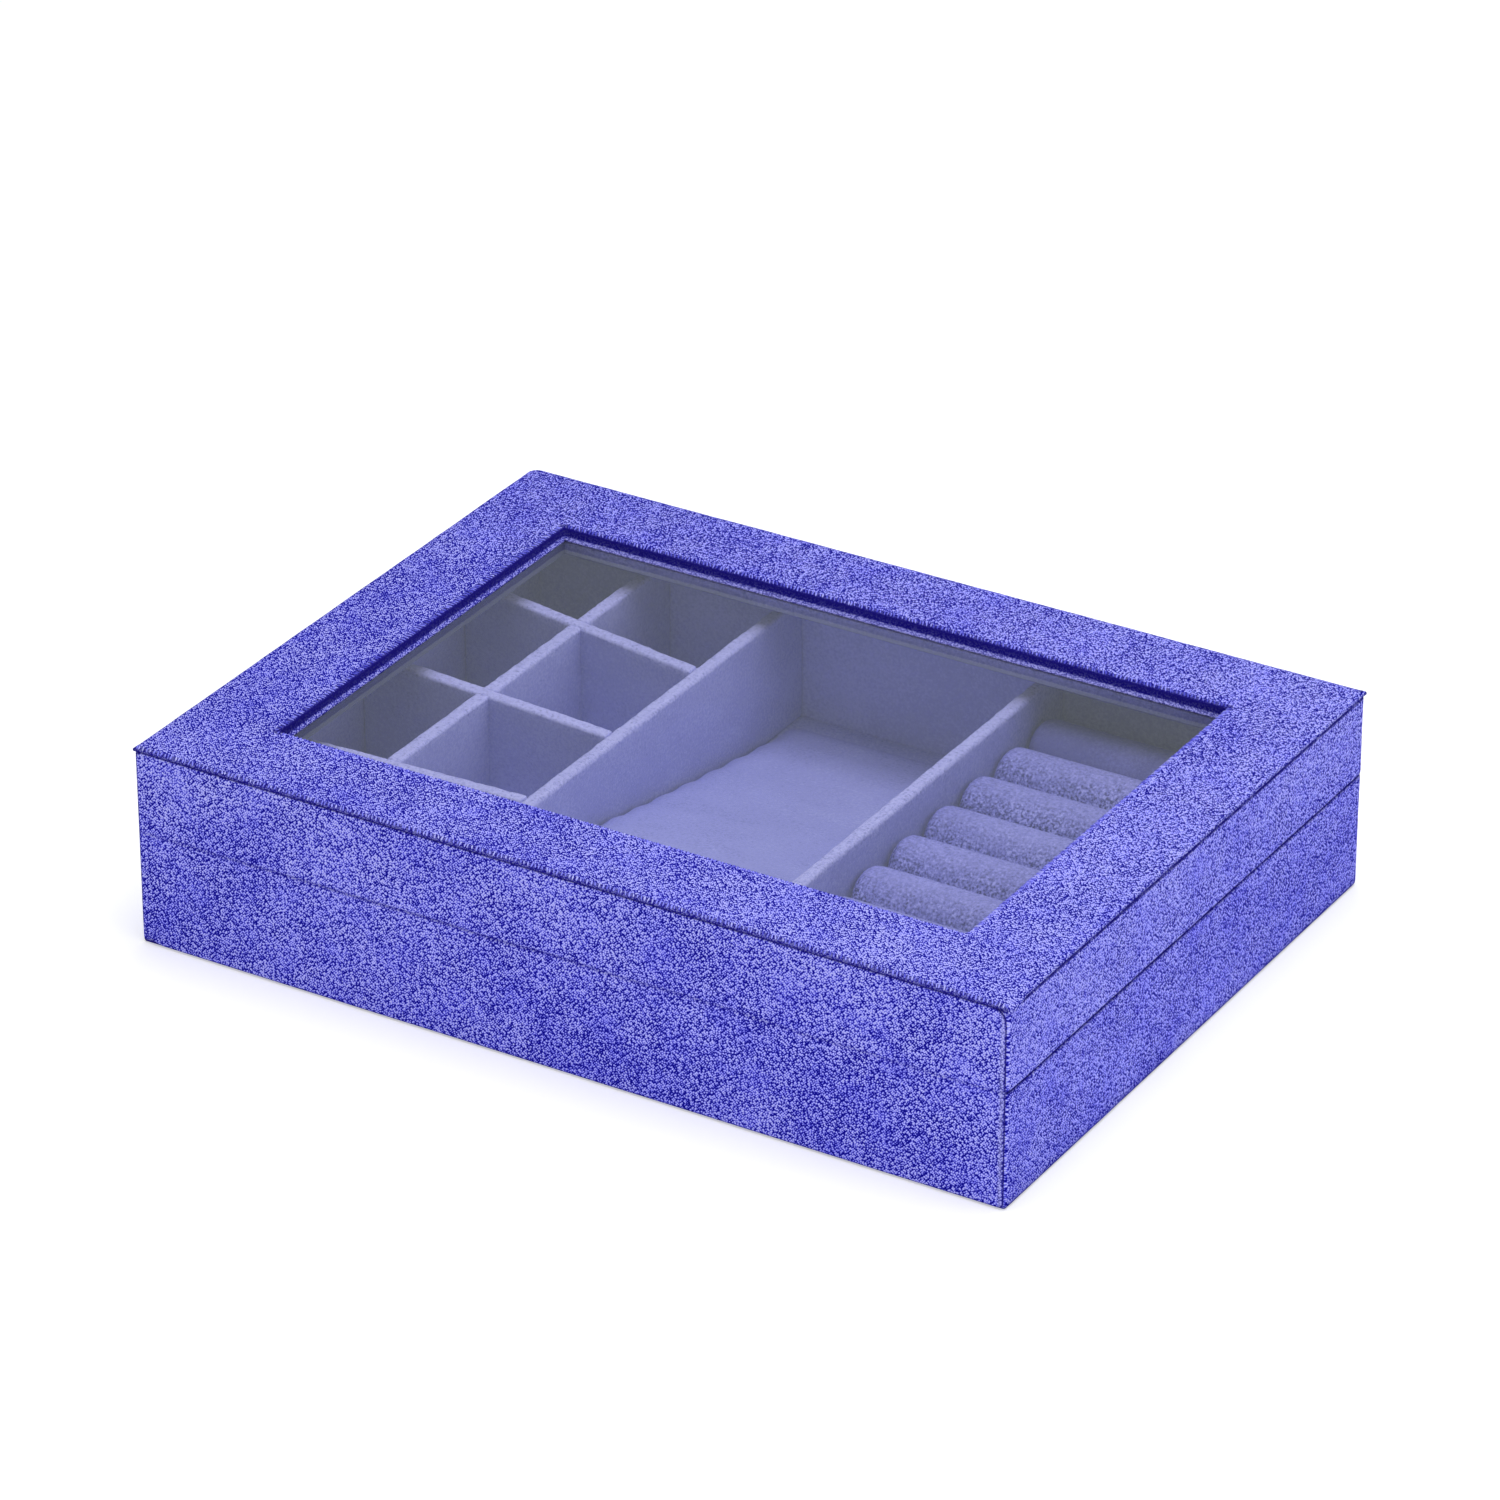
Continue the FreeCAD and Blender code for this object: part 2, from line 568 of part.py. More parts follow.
hinge_low = "(Sizes.base_height - Sizes.hinge_half_width)"
hinge_high = "(Sizes.base_height + Sizes.hinge_half_width)"
pieces += [underside_cloth(), bottom_board(), floor_lining()]
pieces += base_walls() + [base_cover()]
pieces += [back_panel("back_cover_lower", "Sizes.underside_cloth", hinge_low)]
pieces += linings()
pieces += [long_divider("left_long_divider", f"-{DIVIDER_OUTER_X}")]
pieces += [long_divider("right_long_divider", DIVIDER_INNER_X)]
pieces += [cell_spine()] + [cell_divider(row) for row in range(1, CELL_ROW_COUNT)]
pieces += [ring_bed()] + ring_rolls() + [display_ramp()]
pieces += [back_panel("hinge_cloth", hinge_low, hinge_high)]
pieces += lid_walls() + lid_rails() + [glass_pane()] + glass_retainers()
pieces += [lid_cover(), lid_top_cover(), lid_lining()]
pieces += [back_panel("back_cover_upper", hinge_high, SHEET_UNDER)]
doc.recompute()

for item in doc.Objects:
    if "Invalid" in item.State or "Error" in item.State:
        raise RuntimeError(f"{item.Label} failed: {item.State}")
for piece in pieces:
    if piece.Shape.isNull() or not piece.Shape.isValid() or len(piece.Shape.Solids) != 1:
        raise RuntimeError(f"{piece.Label} is not one sound solid")

os.makedirs("parts", exist_ok=True)
for piece in pieces:
    piece.Shape.exportStep(f"parts/{piece.Label}.step")
    print(f"{piece.Label}: {piece.Shape.Volume:.1f} mm3")
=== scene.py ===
import math
import random
from itertools import product

import bpy
import numpy as np
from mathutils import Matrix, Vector, noise


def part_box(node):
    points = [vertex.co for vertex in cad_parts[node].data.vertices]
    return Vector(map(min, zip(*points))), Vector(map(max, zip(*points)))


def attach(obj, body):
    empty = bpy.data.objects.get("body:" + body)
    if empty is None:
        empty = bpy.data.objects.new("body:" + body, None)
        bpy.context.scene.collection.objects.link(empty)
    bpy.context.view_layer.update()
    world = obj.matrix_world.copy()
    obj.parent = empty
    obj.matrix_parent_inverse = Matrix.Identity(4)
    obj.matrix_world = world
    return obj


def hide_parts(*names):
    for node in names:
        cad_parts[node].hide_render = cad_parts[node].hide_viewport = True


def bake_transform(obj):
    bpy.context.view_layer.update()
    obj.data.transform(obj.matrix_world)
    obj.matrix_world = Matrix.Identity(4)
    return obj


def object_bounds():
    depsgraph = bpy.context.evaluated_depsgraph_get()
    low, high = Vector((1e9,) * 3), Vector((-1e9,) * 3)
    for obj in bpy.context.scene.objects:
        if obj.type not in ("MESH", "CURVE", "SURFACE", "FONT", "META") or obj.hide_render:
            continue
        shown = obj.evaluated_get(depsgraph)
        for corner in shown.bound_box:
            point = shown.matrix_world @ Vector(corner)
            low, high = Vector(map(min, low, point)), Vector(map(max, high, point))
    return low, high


# A velvet-covered jewelry box with a glass window in its lid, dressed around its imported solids.
# -Y is the hinge side, which faces the camera, +Y the opening front, Z is up. All lengths are metres.
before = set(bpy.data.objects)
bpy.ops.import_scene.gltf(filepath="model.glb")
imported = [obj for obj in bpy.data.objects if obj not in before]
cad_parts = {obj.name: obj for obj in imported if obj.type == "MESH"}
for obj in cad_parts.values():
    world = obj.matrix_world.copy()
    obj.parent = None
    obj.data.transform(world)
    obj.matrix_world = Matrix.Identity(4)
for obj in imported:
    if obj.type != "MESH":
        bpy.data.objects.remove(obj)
cad_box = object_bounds()
MM = 0.001

# Places of the box, read from the solids
OUTER_X = cad_box[1].x
OUTER_Y = cad_box[1].y
TOP = cad_box[1].z
SHEET_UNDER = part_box("lid_back_rail")[1].z
VELVET = TOP - SHEET_UNDER
BOARD_X = OUTER_X - VELVET
BOARD_Y = OUTER_Y - VELVET
WINDOW_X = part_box("glass_retainer_right")[0].x
WINDOW_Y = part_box("glass_retainer_front")[0].y
GLASS_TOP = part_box("glass_pane")[1].z
LID_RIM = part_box("lid_cover")[0].z
BASE_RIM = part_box("base_cover")[1].z
SPLIT = (LID_RIM + BASE_RIM) / 2
LID_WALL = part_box("lid_right_wall")[1].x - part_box("lid_right_wall")[0].x
BASE_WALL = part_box("base_right_wall")[1].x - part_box("base_right_wall")[0].x
UNDERSIDE_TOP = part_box("underside_cloth")[1].z

# The corners of a rectangle from the hinge left one, counter-clockwise, and the steps of a rounded one
CORNER_SIGNS = ((-1, -1), (1, -1), (1, 1), (-1, 1))
ARC_STEPS = 6

# Top sheet: the spacing of its points, the window's corners, its own corners as the cloth was folded there,
# and the ears that stand out at them
SHEET_STEP = 2 * MM
WINDOW_CORNER = 0.8 * MM
SHEET_CORNERS = (0.9 * MM, 1.6 * MM, 0.9 * MM, 3.2 * MM)
SHEET_EARS = (0.35 * MM, 0, 0.25 * MM, 0)
EAR_WIDTH = 1.3 * MM
# Beside the hinge's right corner the sheet and the side are one fold, without the dark seam line and painted
# shade of the rest
FOLDED_CORNER = 9 * MM
FOLDED_FADE = 3 * MM
FOLDED_OUT = 0.35 * MM
FOLDED_DOWN = 1.4 * MM
# How navy the hem is from the glass upwards, how many of its places are its toe, painted pale as a highlight,
# and the painted light across the sheet, darker at the left and lighter at the right
HEM_NAVY = (0.15, 0.1, 0.2, 0.9, 0.95, 1, 0.9)
HEM_TOE = 3
SHEET_SHADE = (-0.1, -0.08, -0.02, 0.05)
# How near to the window's edge a place counts as being on it
EDGE_REACH = 1 * MM

# Side velvet: its front corners, how far it is turned on to the hinge side, and how much of its thickness
# stands out there, under the back panel
WRAP_CORNER = 2.4 * MM
BACK_RETURN = 6 * MM
RETURN_REACH = 0.45
# Painted light on the side velvet, lighter on the lid than on the base
LID_SHADE = 0.1
BASE_SHADE = 0.01

# Back panel: its place and corners, the spacing of its points, and its crease, deepest left of the middle
PANEL_INSET = 0.7 * MM
PANEL_CORNERS = (6.5 * MM, 1.8 * MM, 4.2 * MM, 1.8 * MM)
PANEL_RIM = np.array((0, 0.15 * MM, 0.4 * MM, 0.7 * MM, 1 * MM, 1.4 * MM, 2 * MM))
PANEL_STEP = 2 * MM
CREASE_PLACES = (-1, -0.45, -0.05, 0.35, 1)
CREASE_DEPTHS = (0.12, 0.26, 0.22, 0.14, 0.12)
CREASE_WIDTH = 0.55 * MM
# Painted shade in the crease, how dark it is for its depth, and how navy the panel's inner face is
CREASE_SHADE = 2.4e3
PANEL_INSIDE_NAVY = 0.4

# Loops of pile along the edges: one at each pitch, its length, width and height in mm, and its mesh
LOOP_PITCH = 1.2 * MM
LOOP_JITTER = 0.24
LOOP_SHARE = 1
BEAD_SIZE = (0.85, 0.26, 0.3)
BEAD_RINGS = 5
BEAD_SPOKES = 6

# Boards inside: how the cell dividers stand askew, how far the spine reaches into them, and how much lighter
# the linings are painted, the front lining most, as painted light
DIVIDER_SLOPES = (0.045, -0.075, -0.166)
DIVIDER_LAP = 0.8 * MM
LINING_SHADE = 0.08
FRONT_LINING_SHADE = 0.32

# Padded pieces: the pressure of their stuffing and how long it swells
PRESSURE = 4
SWELL_FRAMES = 20
ROLL_COUNT = 9

# Outer pile: a loop's size, how irregular the loops are, how light they are by chance, and the dark slits
LOOP_SIZE = (0.56 * MM, 0.74 * MM, 1)
LOOP_IRREGULAR = 0.8
CHANCE_POWER = 0.6
CHANCE_RANGE = 0.65
CHANCE_DARKEST = 0.09
SLIT_START = 0.38
SLIT_CONTRAST = 1.4
# All pile: waves to the metre of its unevenness, from loops to patches, and the strength of fibres and tips
LOOP_WAVES = 1200
FIBRE_WAVES = 1300
TIP_WAVES = 750
BRUSH_WAVES = 75
PATCH_WAVES = 26
FIBRE_LIGHT = 0.1
TIP_CONTRAST = 2.2

# The camera, from the vanishing lines of the photograph
CAMERA_PLACE = (0.91044, -1.51689, 1.00448)
CAMERA_AZIMUTH = math.radians(31.012)
CAMERA_ELEVATION = math.radians(28.284)
SENSOR = 36
LENS = 171.05

# Lamps, each with its place, size and power, and the dome, which is stronger above and bluer at the front
OVERHEAD = ((0.06, 0, 1.05), (0.8, 0.8), 6.2)
SIDE_FILL = ((1.6, 0.1, 0.55), (1.2, 0.8), 6)
HINGE_FILL = ((0.3, -1.6, 0.16), (1.4, 0.25), 8)
DOME_LEVEL = 0.3
DOME_ABOVE = 0.2
DOME_FRONT = 0.14
DOME_TINT = (0.88, 0.965, 1, 1)
WHITE = (1, 1, 1, 1)
FLOOR_GLOW = 0.42


def srgb(red, green, blue):
    """A screen colour, 0 to 255, as the linear colour that a shader takes."""
    shares = [channel / 255 for channel in (red, green, blue)]
    linear = [s / 12.92 if s <= 0.04045 else ((s + 0.055) / 1.055) ** 2.4 for s in shares]
    return (*linear, 1)


# Velvet colours on the screen: the pile from its darkest place to its palest, and the pale colour painted on
# tops and edges as a highlight
# Navy marks seam lines and painted shade in gaps, creases and hollows
NAVY = srgb(24, 16, 118)
SHEEN = srgb(80, 80, 255)
OUTER_SHADES = {
    "pile": {0: (6, 3, 138), 0.25: (56, 55, 199), 0.5: (110, 110, 238), 0.75: (152, 153, 255),
             1: (190, 191, 255)},
    "tip_highlight": (168, 168, 236),
}
LOOP_SHADES = {
    "pile": {0: (84, 84, 210), 0.5: (142, 143, 252), 1: (190, 191, 255)},
    "tip_highlight": (180, 180, 255),
}
LINING_SHADES = {
    "pile": {0: (84, 86, 152), 0.3: (128, 130, 201), 0.5: (147, 149, 220), 0.7: (164, 166, 229),
             1: (188, 190, 244)},
    "tip_highlight": (182, 181, 242),
}
ROLL_SHADES = {
    "pile": {0: (52, 53, 124), 0.3: (101, 102, 182), 0.5: (124, 125, 208), 0.7: (145, 146, 226),
             1: (176, 177, 248)},
    "tip_highlight": (166, 165, 236),
}
EDGING_SHADES = {
    "pile": {0: (118, 123, 142), 0.5: (141, 146, 167), 1: (164, 169, 190)},
    "tip_highlight": (160, 164, 206),
}


# Materials
def set_inputs(node, inputs):
    """Set a node's inputs to values, or join them to other nodes' outputs."""
    for name, value in inputs.items():
        if isinstance(value, bpy.types.NodeSocket):
            node.id_data.links.new(value, node.inputs[name])
        else:
            node.inputs[name].default_value = value


def add_node(tree, kind, inputs=None, **settings):
    """A new shader node with its settings and inputs."""
    node = tree.nodes.new(kind)
    for name, value in settings.items():
        setattr(node, name, value)
    set_inputs(node, inputs or {})
    return node


def arithmetic(tree, operation, *numbers):
    """The output of a node that joins numbers."""
    return add_node(tree, "ShaderNodeMath", dict(enumerate(numbers)), operation=operation).outputs[0]


def stretch(tree, value, low, high):
    """A texture's middle range, 0.3 to 0.7, spread from low to high."""
    inputs = {"Value": value, "From Min": 0.3, "From Max": 0.7, "To Min": low, "To Max": high}
    return add_node(tree, "ShaderNodeMapRange", inputs).outputs["Result"]


def colour_ramp(tree, value, stops):
    """Screen colours at places from 0 to 1, mixed between them."""
    ramp = add_node(tree, "ShaderNodeValToRGB", {"Fac": value})
    ramp.color_ramp.interpolation = "EASE"
    while len(ramp.color_ramp.elements) < len(stops):
        ramp.color_ramp.elements.new(0.5)
    for element, (place, colour) in zip(ramp.color_ramp.elements, stops.items()):
        element.position = place
        element.color = srgb(*colour)
    return ramp.outputs["Color"]


def mix_colour(tree, share, first, second):
    """The first colour turning into the second as share goes from 0 to 1."""
    return add_node(tree, "ShaderNodeMix", {0: share, 6: first, 7: second}, data_type="RGBA").outputs[2]


def new_material(name):
    """A new material, its node tree and its shader."""
    material = bpy.data.materials.new(name)
    material.use_nodes = True
    return material, material.node_tree, material.node_tree.nodes["Principled BSDF"]


def noise_value(tree, place, scale, detail, distortion=0, roughness=0.6):
    """A soft random value about 0.5, with scale waves to the metre."""
    inputs = {"Vector": place, "Scale": scale, "Detail": detail, "Roughness": roughness,
              "Distortion": distortion}
    return add_node(tree, "ShaderNodeTexNoise", inputs).outputs["Fac"]


def relief_normal(tree, height, strength, distance):
    """A surface's normal with a small relief."""
    inputs = {"Height": height, "Strength": strength, "Distance": distance}
    return add_node(tree, "ShaderNodeBump", inputs).outputs["Normal"]


def point_mark(tree, name):
    """A mark that the points of a mesh carry, 0 where they carry none."""
    return add_node(tree, "ShaderNodeAttribute", attribute_name=name).outputs["Fac"]


def outer_loops(tree, place, angle):
    """Slanted loops of the outer pile, each lighter or darker by chance, with dark slits between them."""
    turn = {"Vector": place, "Rotation": (0, 0, angle), "Scale": LOOP_SIZE}
    slanted = add_node(tree, "ShaderNodeMapping", turn, vector_type="TEXTURE").outputs["Vector"]
    inputs = {"Vector": slanted, "Scale": 1, "Randomness": LOOP_IRREGULAR}
    cells = add_node(tree, "ShaderNodeTexVoronoi", inputs, voronoi_dimensions="2D").outputs
    chance = add_node(tree, "ShaderNodeSeparateColor", {"Color": cells["Color"]}).outputs["Red"]
    chance = arithmetic(tree, "POWER", chance, CHANCE_POWER)
    loops = arithmetic(tree, "MULTIPLY_ADD", chance, CHANCE_RANGE, CHANCE_DARKEST)
    slits = arithmetic(tree, "SUBTRACT", SLIT_START, cells["Distance"])
    return arithmetic(tree, "MULTIPLY_ADD", slits, SLIT_CONTRAST, loops)


def velvet(name, shades, weave, nap, angle=None):
    """Short pile of loops, loose fibres and brushed patches.
    Weave is the contrast of the loops and nap that of the patches. With an angle, the loops slant across the
    cloth's own coordinates; without one, they are fine noise through the piece.
    Marks on the points paint a pale highlight on tops and edges, make it navy for seam lines and painted
    shade, make it smooth (calm), or make it lighter or darker, which is painted light and shade on most
    pieces and a chance tone on the pile loops."""
    material, tree, shader = new_material(name)
    places = add_node(tree, "ShaderNodeTexCoord").outputs
    if angle is None:
        place = places["Object"]
        loops = noise_value(tree, place, LOOP_WAVES, 1)
    else:
        place = places["UV"]
        loops = outer_loops(tree, place, angle)
    fibres = noise_value(tree, place, FIBRE_WAVES, 1)
    brushed = noise_value(tree, place, BRUSH_WAVES, 3)
    patches = noise_value(tree, place, PATCH_WAVES, 5, distortion=0.6)
    contrast = stretch(tree, brushed, 0.6 * weave, 1.25 * weave)
    contrast = arithmetic(tree, "MULTIPLY_ADD", point_mark(tree, "tip_highlight"), TIP_CONTRAST, contrast)
    uneven = arithmetic(tree, "SUBTRACT", 1, point_mark(tree, "calm"))
    contrast = arithmetic(tree, "MULTIPLY", contrast, uneven)
    light = arithmetic(tree, "SUBTRACT", loops, 0.5)
    light = arithmetic(tree, "ADD", light, stretch(tree, fibres, -FIBRE_LIGHT, FIBRE_LIGHT))
    light = arithmetic(tree, "MULTIPLY", light, contrast)
    light = arithmetic(tree, "ADD", light, stretch(tree, patches, 0.5 - nap, 0.5 + nap))
    # The shade mark paints light and shade on most pieces, and a chance tone on the pile loops
    light = arithmetic(tree, "ADD", light, point_mark(tree, "shade"))
    colour = colour_ramp(tree, light, shades["pile"])
    # Painted highlight: where the points are marked, the pile turns pale, with speckle
    speckle = stretch(tree, noise_value(tree, place, TIP_WAVES, 2), 0.25, 1.2)
    tip_highlight = arithmetic(tree, "MULTIPLY", point_mark(tree, "tip_highlight"), speckle)
    colour = mix_colour(tree, tip_highlight, colour, srgb(*shades["tip_highlight"]))
    # Navy where the points are marked, for seam lines and painted shade
    colour = mix_colour(tree, point_mark(tree, "seam_and_shade"), colour, NAVY)
    set_inputs(shader, {
        "Base Color": colour,
        "Normal": relief_normal(tree, fibres, 0.15, 0.12 * MM),
        "Roughness": stretch(tree, fibres, 0.88, 1),
        "Specular IOR Level": 0.1,
        "Sheen Weight": 0.08,
        "Sheen Roughness": 0.45,
        "Sheen Tint": SHEEN,
    })
    return material


def fibreboard():
    """Pressed brown board with dark and light fibres, behind the cloth."""
    material, tree, shader = new_material("fibreboard")
    place = add_node(tree, "ShaderNodeTexCoord").outputs["Object"]
    grain = noise_value(tree, place, 900, 6, roughness=0.7)
    stops = {0.3: (96, 70, 48), 0.5: (150, 118, 86), 0.72: (186, 156, 120)}
    set_inputs(shader, {
        "Base Color": colour_ramp(tree, grain, stops),
        "Normal": relief_normal(tree, grain, 0.3, 0.1 * MM),
        "Roughness": 0.85,
    })
    return material


def window_glass():
    """Clear glass with a faint haze of wiping marks."""
    material, tree, shader = new_material("window_glass")
    place = add_node(tree, "ShaderNodeTexCoord").outputs["Object"]
    haze = noise_value(tree, place, 18, 4, roughness=0.5)
    stops = {0.3: (240, 242, 244), 0.7: (250, 251, 252)}
    set_inputs(shader, {
        "Base Color": colour_ramp(tree, haze, stops),
        "Roughness": 0,
        "IOR": 1.5,
        "Transmission Weight": 1,
    })
    return material


# Meshes
def add_object(name, data):
    """A new object in the scene."""
    item = bpy.data.objects.new(name, data)
    bpy.context.scene.collection.objects.link(item)
    return item


def mark_points(mesh, marks):
    """Store each mark's numbers on the points of a mesh."""
    for name, values in marks.items():
        attribute = mesh.attributes.new(name, "FLOAT", "POINT")
        attribute.data.foreach_set("value", np.asarray(values, np.float32).ravel())


def make_piece(name, points, faces, material, cloth=None, marks=None):
    """A smooth object from points and faces, with cloth coordinates for face corners and marks for points."""
    mesh = bpy.data.meshes.new(name)
    mesh.from_pydata(np.asarray(points, float).reshape(-1, 3).tolist(), [], faces)
    mesh.polygons.foreach_set("use_smooth", [True] * len(mesh.polygons))
    if cloth is not None:
        layer = mesh.uv_layers.new(name="cloth")
        layer.data.foreach_set("uv", np.asarray(cloth, np.float32).ravel())
    mark_points(mesh, marks or {})
    mesh.materials.append(material)
    mesh.update()
    return add_object(name, mesh)


def grid_faces(rows, columns, close_rows, close_columns):
    """Quads between neighbouring points of a grid, which may close on itself either way."""
    faces = []
    for row in range(rows if close_rows else rows - 1):
        for column in range(columns if close_columns else columns - 1):
            after, beside = (row + 1) % rows, (column + 1) % columns
            faces.append((row * columns + column, after * columns + column,
                          after * columns + beside, row * columns + beside))
    return faces


def grid_cloth(along, across):
    """Cloth coordinates of such quads, from the distances of rows and columns, with the closing ones."""
    corners = []
    for row in range(len(along) - 1):
        for column in range(len(across) - 1):
            corners += [(along[row], across[column]), (along[row + 1], across[column]),
                        (along[row + 1], across[column + 1]), (along[row], across[column + 1])]
    return corners


def turned(faces):
    """The same faces, looking the other way."""
    return [tuple(reversed(face)) for face in faces]


def tube_faces(rings, spokes):
    """Faces of a tube with closed ends, whose rings run counter-clockwise about its direction."""
    faces = turned(grid_faces(rings, spokes, False, True))
    faces.append(tuple(reversed(range(spokes))))
    faces.append(tuple((rings - 1) * spokes + spoke for spoke in range(spokes)))
    return faces


def slab_faces(rows, columns):
    """Faces of two equal grids of points, one behind the other, closed along their rims."""
    front = grid_faces(rows, columns, False, False)
    offset = rows * columns
    faces = front + [tuple(index + offset for index in face) for face in turned(front)]
    rim = [row * columns for row in range(rows)]
    rim += [(rows - 1) * columns + column for column in range(1, columns)]
    rim += [row * columns + columns - 1 for row in range(rows - 2, -1, -1)]
    rim += range(columns - 2, 0, -1)
    for start, end in zip(rim, rim[1:] + rim[:1]):
        faces.append((start + offset, end + offset, end, start))
    return faces


def distances(points, closed):
    """Lengths from the first point along a line through the points, with the way back if it closes."""
    points = np.asarray(points, float)
    if closed:
        points = np.vstack([points, points[:1]])
    return np.concatenate([[0], np.cumsum(np.linalg.norm(np.diff(points, axis=0), axis=1))])


def spread(start, end, step):
    """Evenly spaced places from start to end, about step apart."""
    return np.linspace(start, end, max(2, round(abs(end - start) / step) + 1))


def hill(distance, width):
    """1 at no distance, falling smoothly to nothing at about twice the width."""
    return np.exp(-(distance / width) ** 2)


def ripple(places, wavelength, seed):
    """Smooth unevenness between -1 and 1 at each place, which may be a plan one."""
    places = np.asarray(places, float)
    shift = Vector((seed * 7.1, seed * 3.7, seed * 5.3))
    rows = places.reshape(-1, places.shape[-1])
    values = [noise.noise(Vector(row).to_3d() / wavelength + shift) for row in rows]
    return np.array(values).reshape(places.shape[:-1])


def rounded_path(corners, radii, step):
    """Points along a plan line whose inner corners are rounded, and the normals on its left."""
    corners = [np.array(corner, float) for corner in corners]
    runs = []
    for before, corner, after, radius in zip(corners, corners[1:], corners[2:], radii):
        arriving = (corner - before) / np.linalg.norm(corner - before)
        leaving = (after - corner) / np.linalg.norm(after - corner)
        turn = math.atan2(arriving[0] * leaving[1] - arriving[1] * leaving[0], arriving @ leaving)
        reach = radius * math.tan(abs(turn) / 2)
        side = np.array([-arriving[1], arriving[0]]) * math.copysign(1, turn)
        centre = corner - arriving * reach + side * radius
        x, y = -side * radius
        arc = []
        for angle in np.linspace(0, turn, ARC_STEPS + 1):
            cos, sin = math.cos(angle), math.sin(angle)
            arc.append(centre + np.array([x * cos - y * sin, x * sin + y * cos]))
        runs.append(arc)
    runs.append([corners[-1]])
    points = [corners[0]]
    for run in runs:
        start, end = points[-1], run[0]
        count = max(1, round(np.linalg.norm(end - start) / step))
        points += [start + (end - start) * share / count for share in range(1, count)]
        points += run
    points = np.array(points)
    along = np.gradient(points, axis=0)
    along /= np.linalg.norm(along, axis=1)[:, None]
    return points, np.stack([-along[:, 1], along[:, 0]], 1)


def frame_loop(half_x, half_y, radii, step):
    """Points round a rectangle from its hinge left corner, counter-clockwise, and their outward normals.
    The count depends on step and the box only, so an inner and an outer loop match point for point."""
    centres = [np.array([x * (half_x - radius), y * (half_y - radius)])
               for (x, y), radius in zip(CORNER_SIGNS, radii)]
    counts = [round(2 * half / step) for half in (OUTER_X, OUTER_Y)] * 2
    points, normals = [], []
    for corner in range(4):
        first, last = (math.pi + quarter * math.pi / 2 for quarter in (corner, corner + 1))
        for angle in np.linspace(first, last, ARC_STEPS + 1):
            normal = np.array([math.cos(angle), math.sin(angle)])
            points.append(centres[corner] + radii[corner] * normal)
            normals.append(normal)
        after = (corner + 1) % 4
        start, end = points[-1], centres[after] + radii[after] * normals[-1]
        for share in range(1, counts[corner]):
            points.append(start + (end - start) * share / counts[corner])
            normals.append(normals[-1])
    return np.array(points), np.array(normals)


def sweep(path, normals, section, reach=1):
    """Points of a section of (outwards, up) places along a plan path. Reach scales what stands out."""
    points = np.zeros((len(path), len(section), 3))
    for column, (out, up) in enumerate(section):
        points[:, column, :2] = path + normals * (out * (reach if out > 0 else 1))
        points[:, column, 2] = up
    return points


# Outer velvet
def window_edge():
    """The window's edge in plan, with its outward normals."""
    return frame_loop(WINDOW_X, WINDOW_Y, (WINDOW_CORNER,) * 4, SHEET_STEP)


def sheet_edge():
    """The top sheet's outer edge in plan, with its outward normals."""
    return frame_loop(OUTER_X, OUTER_Y, SHEET_CORNERS, SHEET_STEP)


def in_window_shade(plan):
    """Whether places on the window's edge are at its far or left side, which lie in shade."""
    return (plan[..., 1] > WINDOW_Y - EDGE_REACH) | (plan[..., 0] < -WINDOW_X + EDGE_REACH)


def ear_reach(loop):
    """How far the cloth stands out at each point of the outer loop, most at the folded corners."""
    reach = np.zeros(len(loop))
    for signs, ear in zip(CORNER_SIGNS, SHEET_EARS):
        corner = np.array(signs) * (OUTER_X, OUTER_Y)
        reach += ear * hill(np.linalg.norm(loop - corner, axis=1), EAR_WIDTH)
    return reach


def folded_corner_share(loop):
    """1 where sheet and side are one fold, on the right side next to the hinge, 0 elsewhere."""
    beside = (loop[:, 0] > OUTER_X - 2 * MM) & (loop[:, 1] > -OUTER_Y)
    share = np.clip((FOLDED_CORNER - (loop[:, 1] + OUTER_Y)) / FOLDED_FADE, 0, 1)
    return np.where(beside, share, 0)


def sheet_section():
    """Four stretches of the top sheet's section: down in the window, the flat, the outer edge and underneath.
    Each place is a share of the way across the frame, a length outwards and a height.
    The tables of (outwards, up) are in mm, from the glass or from the top."""
    toe = ((-1.2, 0.1), (-0.5, 0.3), (-0.1, 0.8), (0, 1.2))
    fold = ((0, -1.2), (0.05, -0.55), (0.25, -0.18), (0.7, 0), (1.7, 0))
    rim = ((-1.75, 0), (-1.1, 0), (-0.55, -0.06), (-0.15, -0.24), (0.06, -0.5), (0.02, -0.78), (-0.3, -0.92))
    hem = [(0, out * MM, GLASS_TOP + up * MM) for out, up in toe]
    hem += [(0, out * MM, TOP + up * MM) for out, up in fold]
    flat = [(share, 0, TOP) for share in np.linspace(0, 1, 17)[1:-1]]
    edge = [(1, out * MM, TOP + up * MM) for out, up in rim]
    under = [(1, -1.2 * MM, SHEET_UNDER), (0, VELVET + 0.8 * MM, SHEET_UNDER),
             (0, VELVET, SHEET_UNDER - 0.6 * MM), (0, VELVET, GLASS_TOP + 0.1 * MM)]
    return hem, flat, edge, under


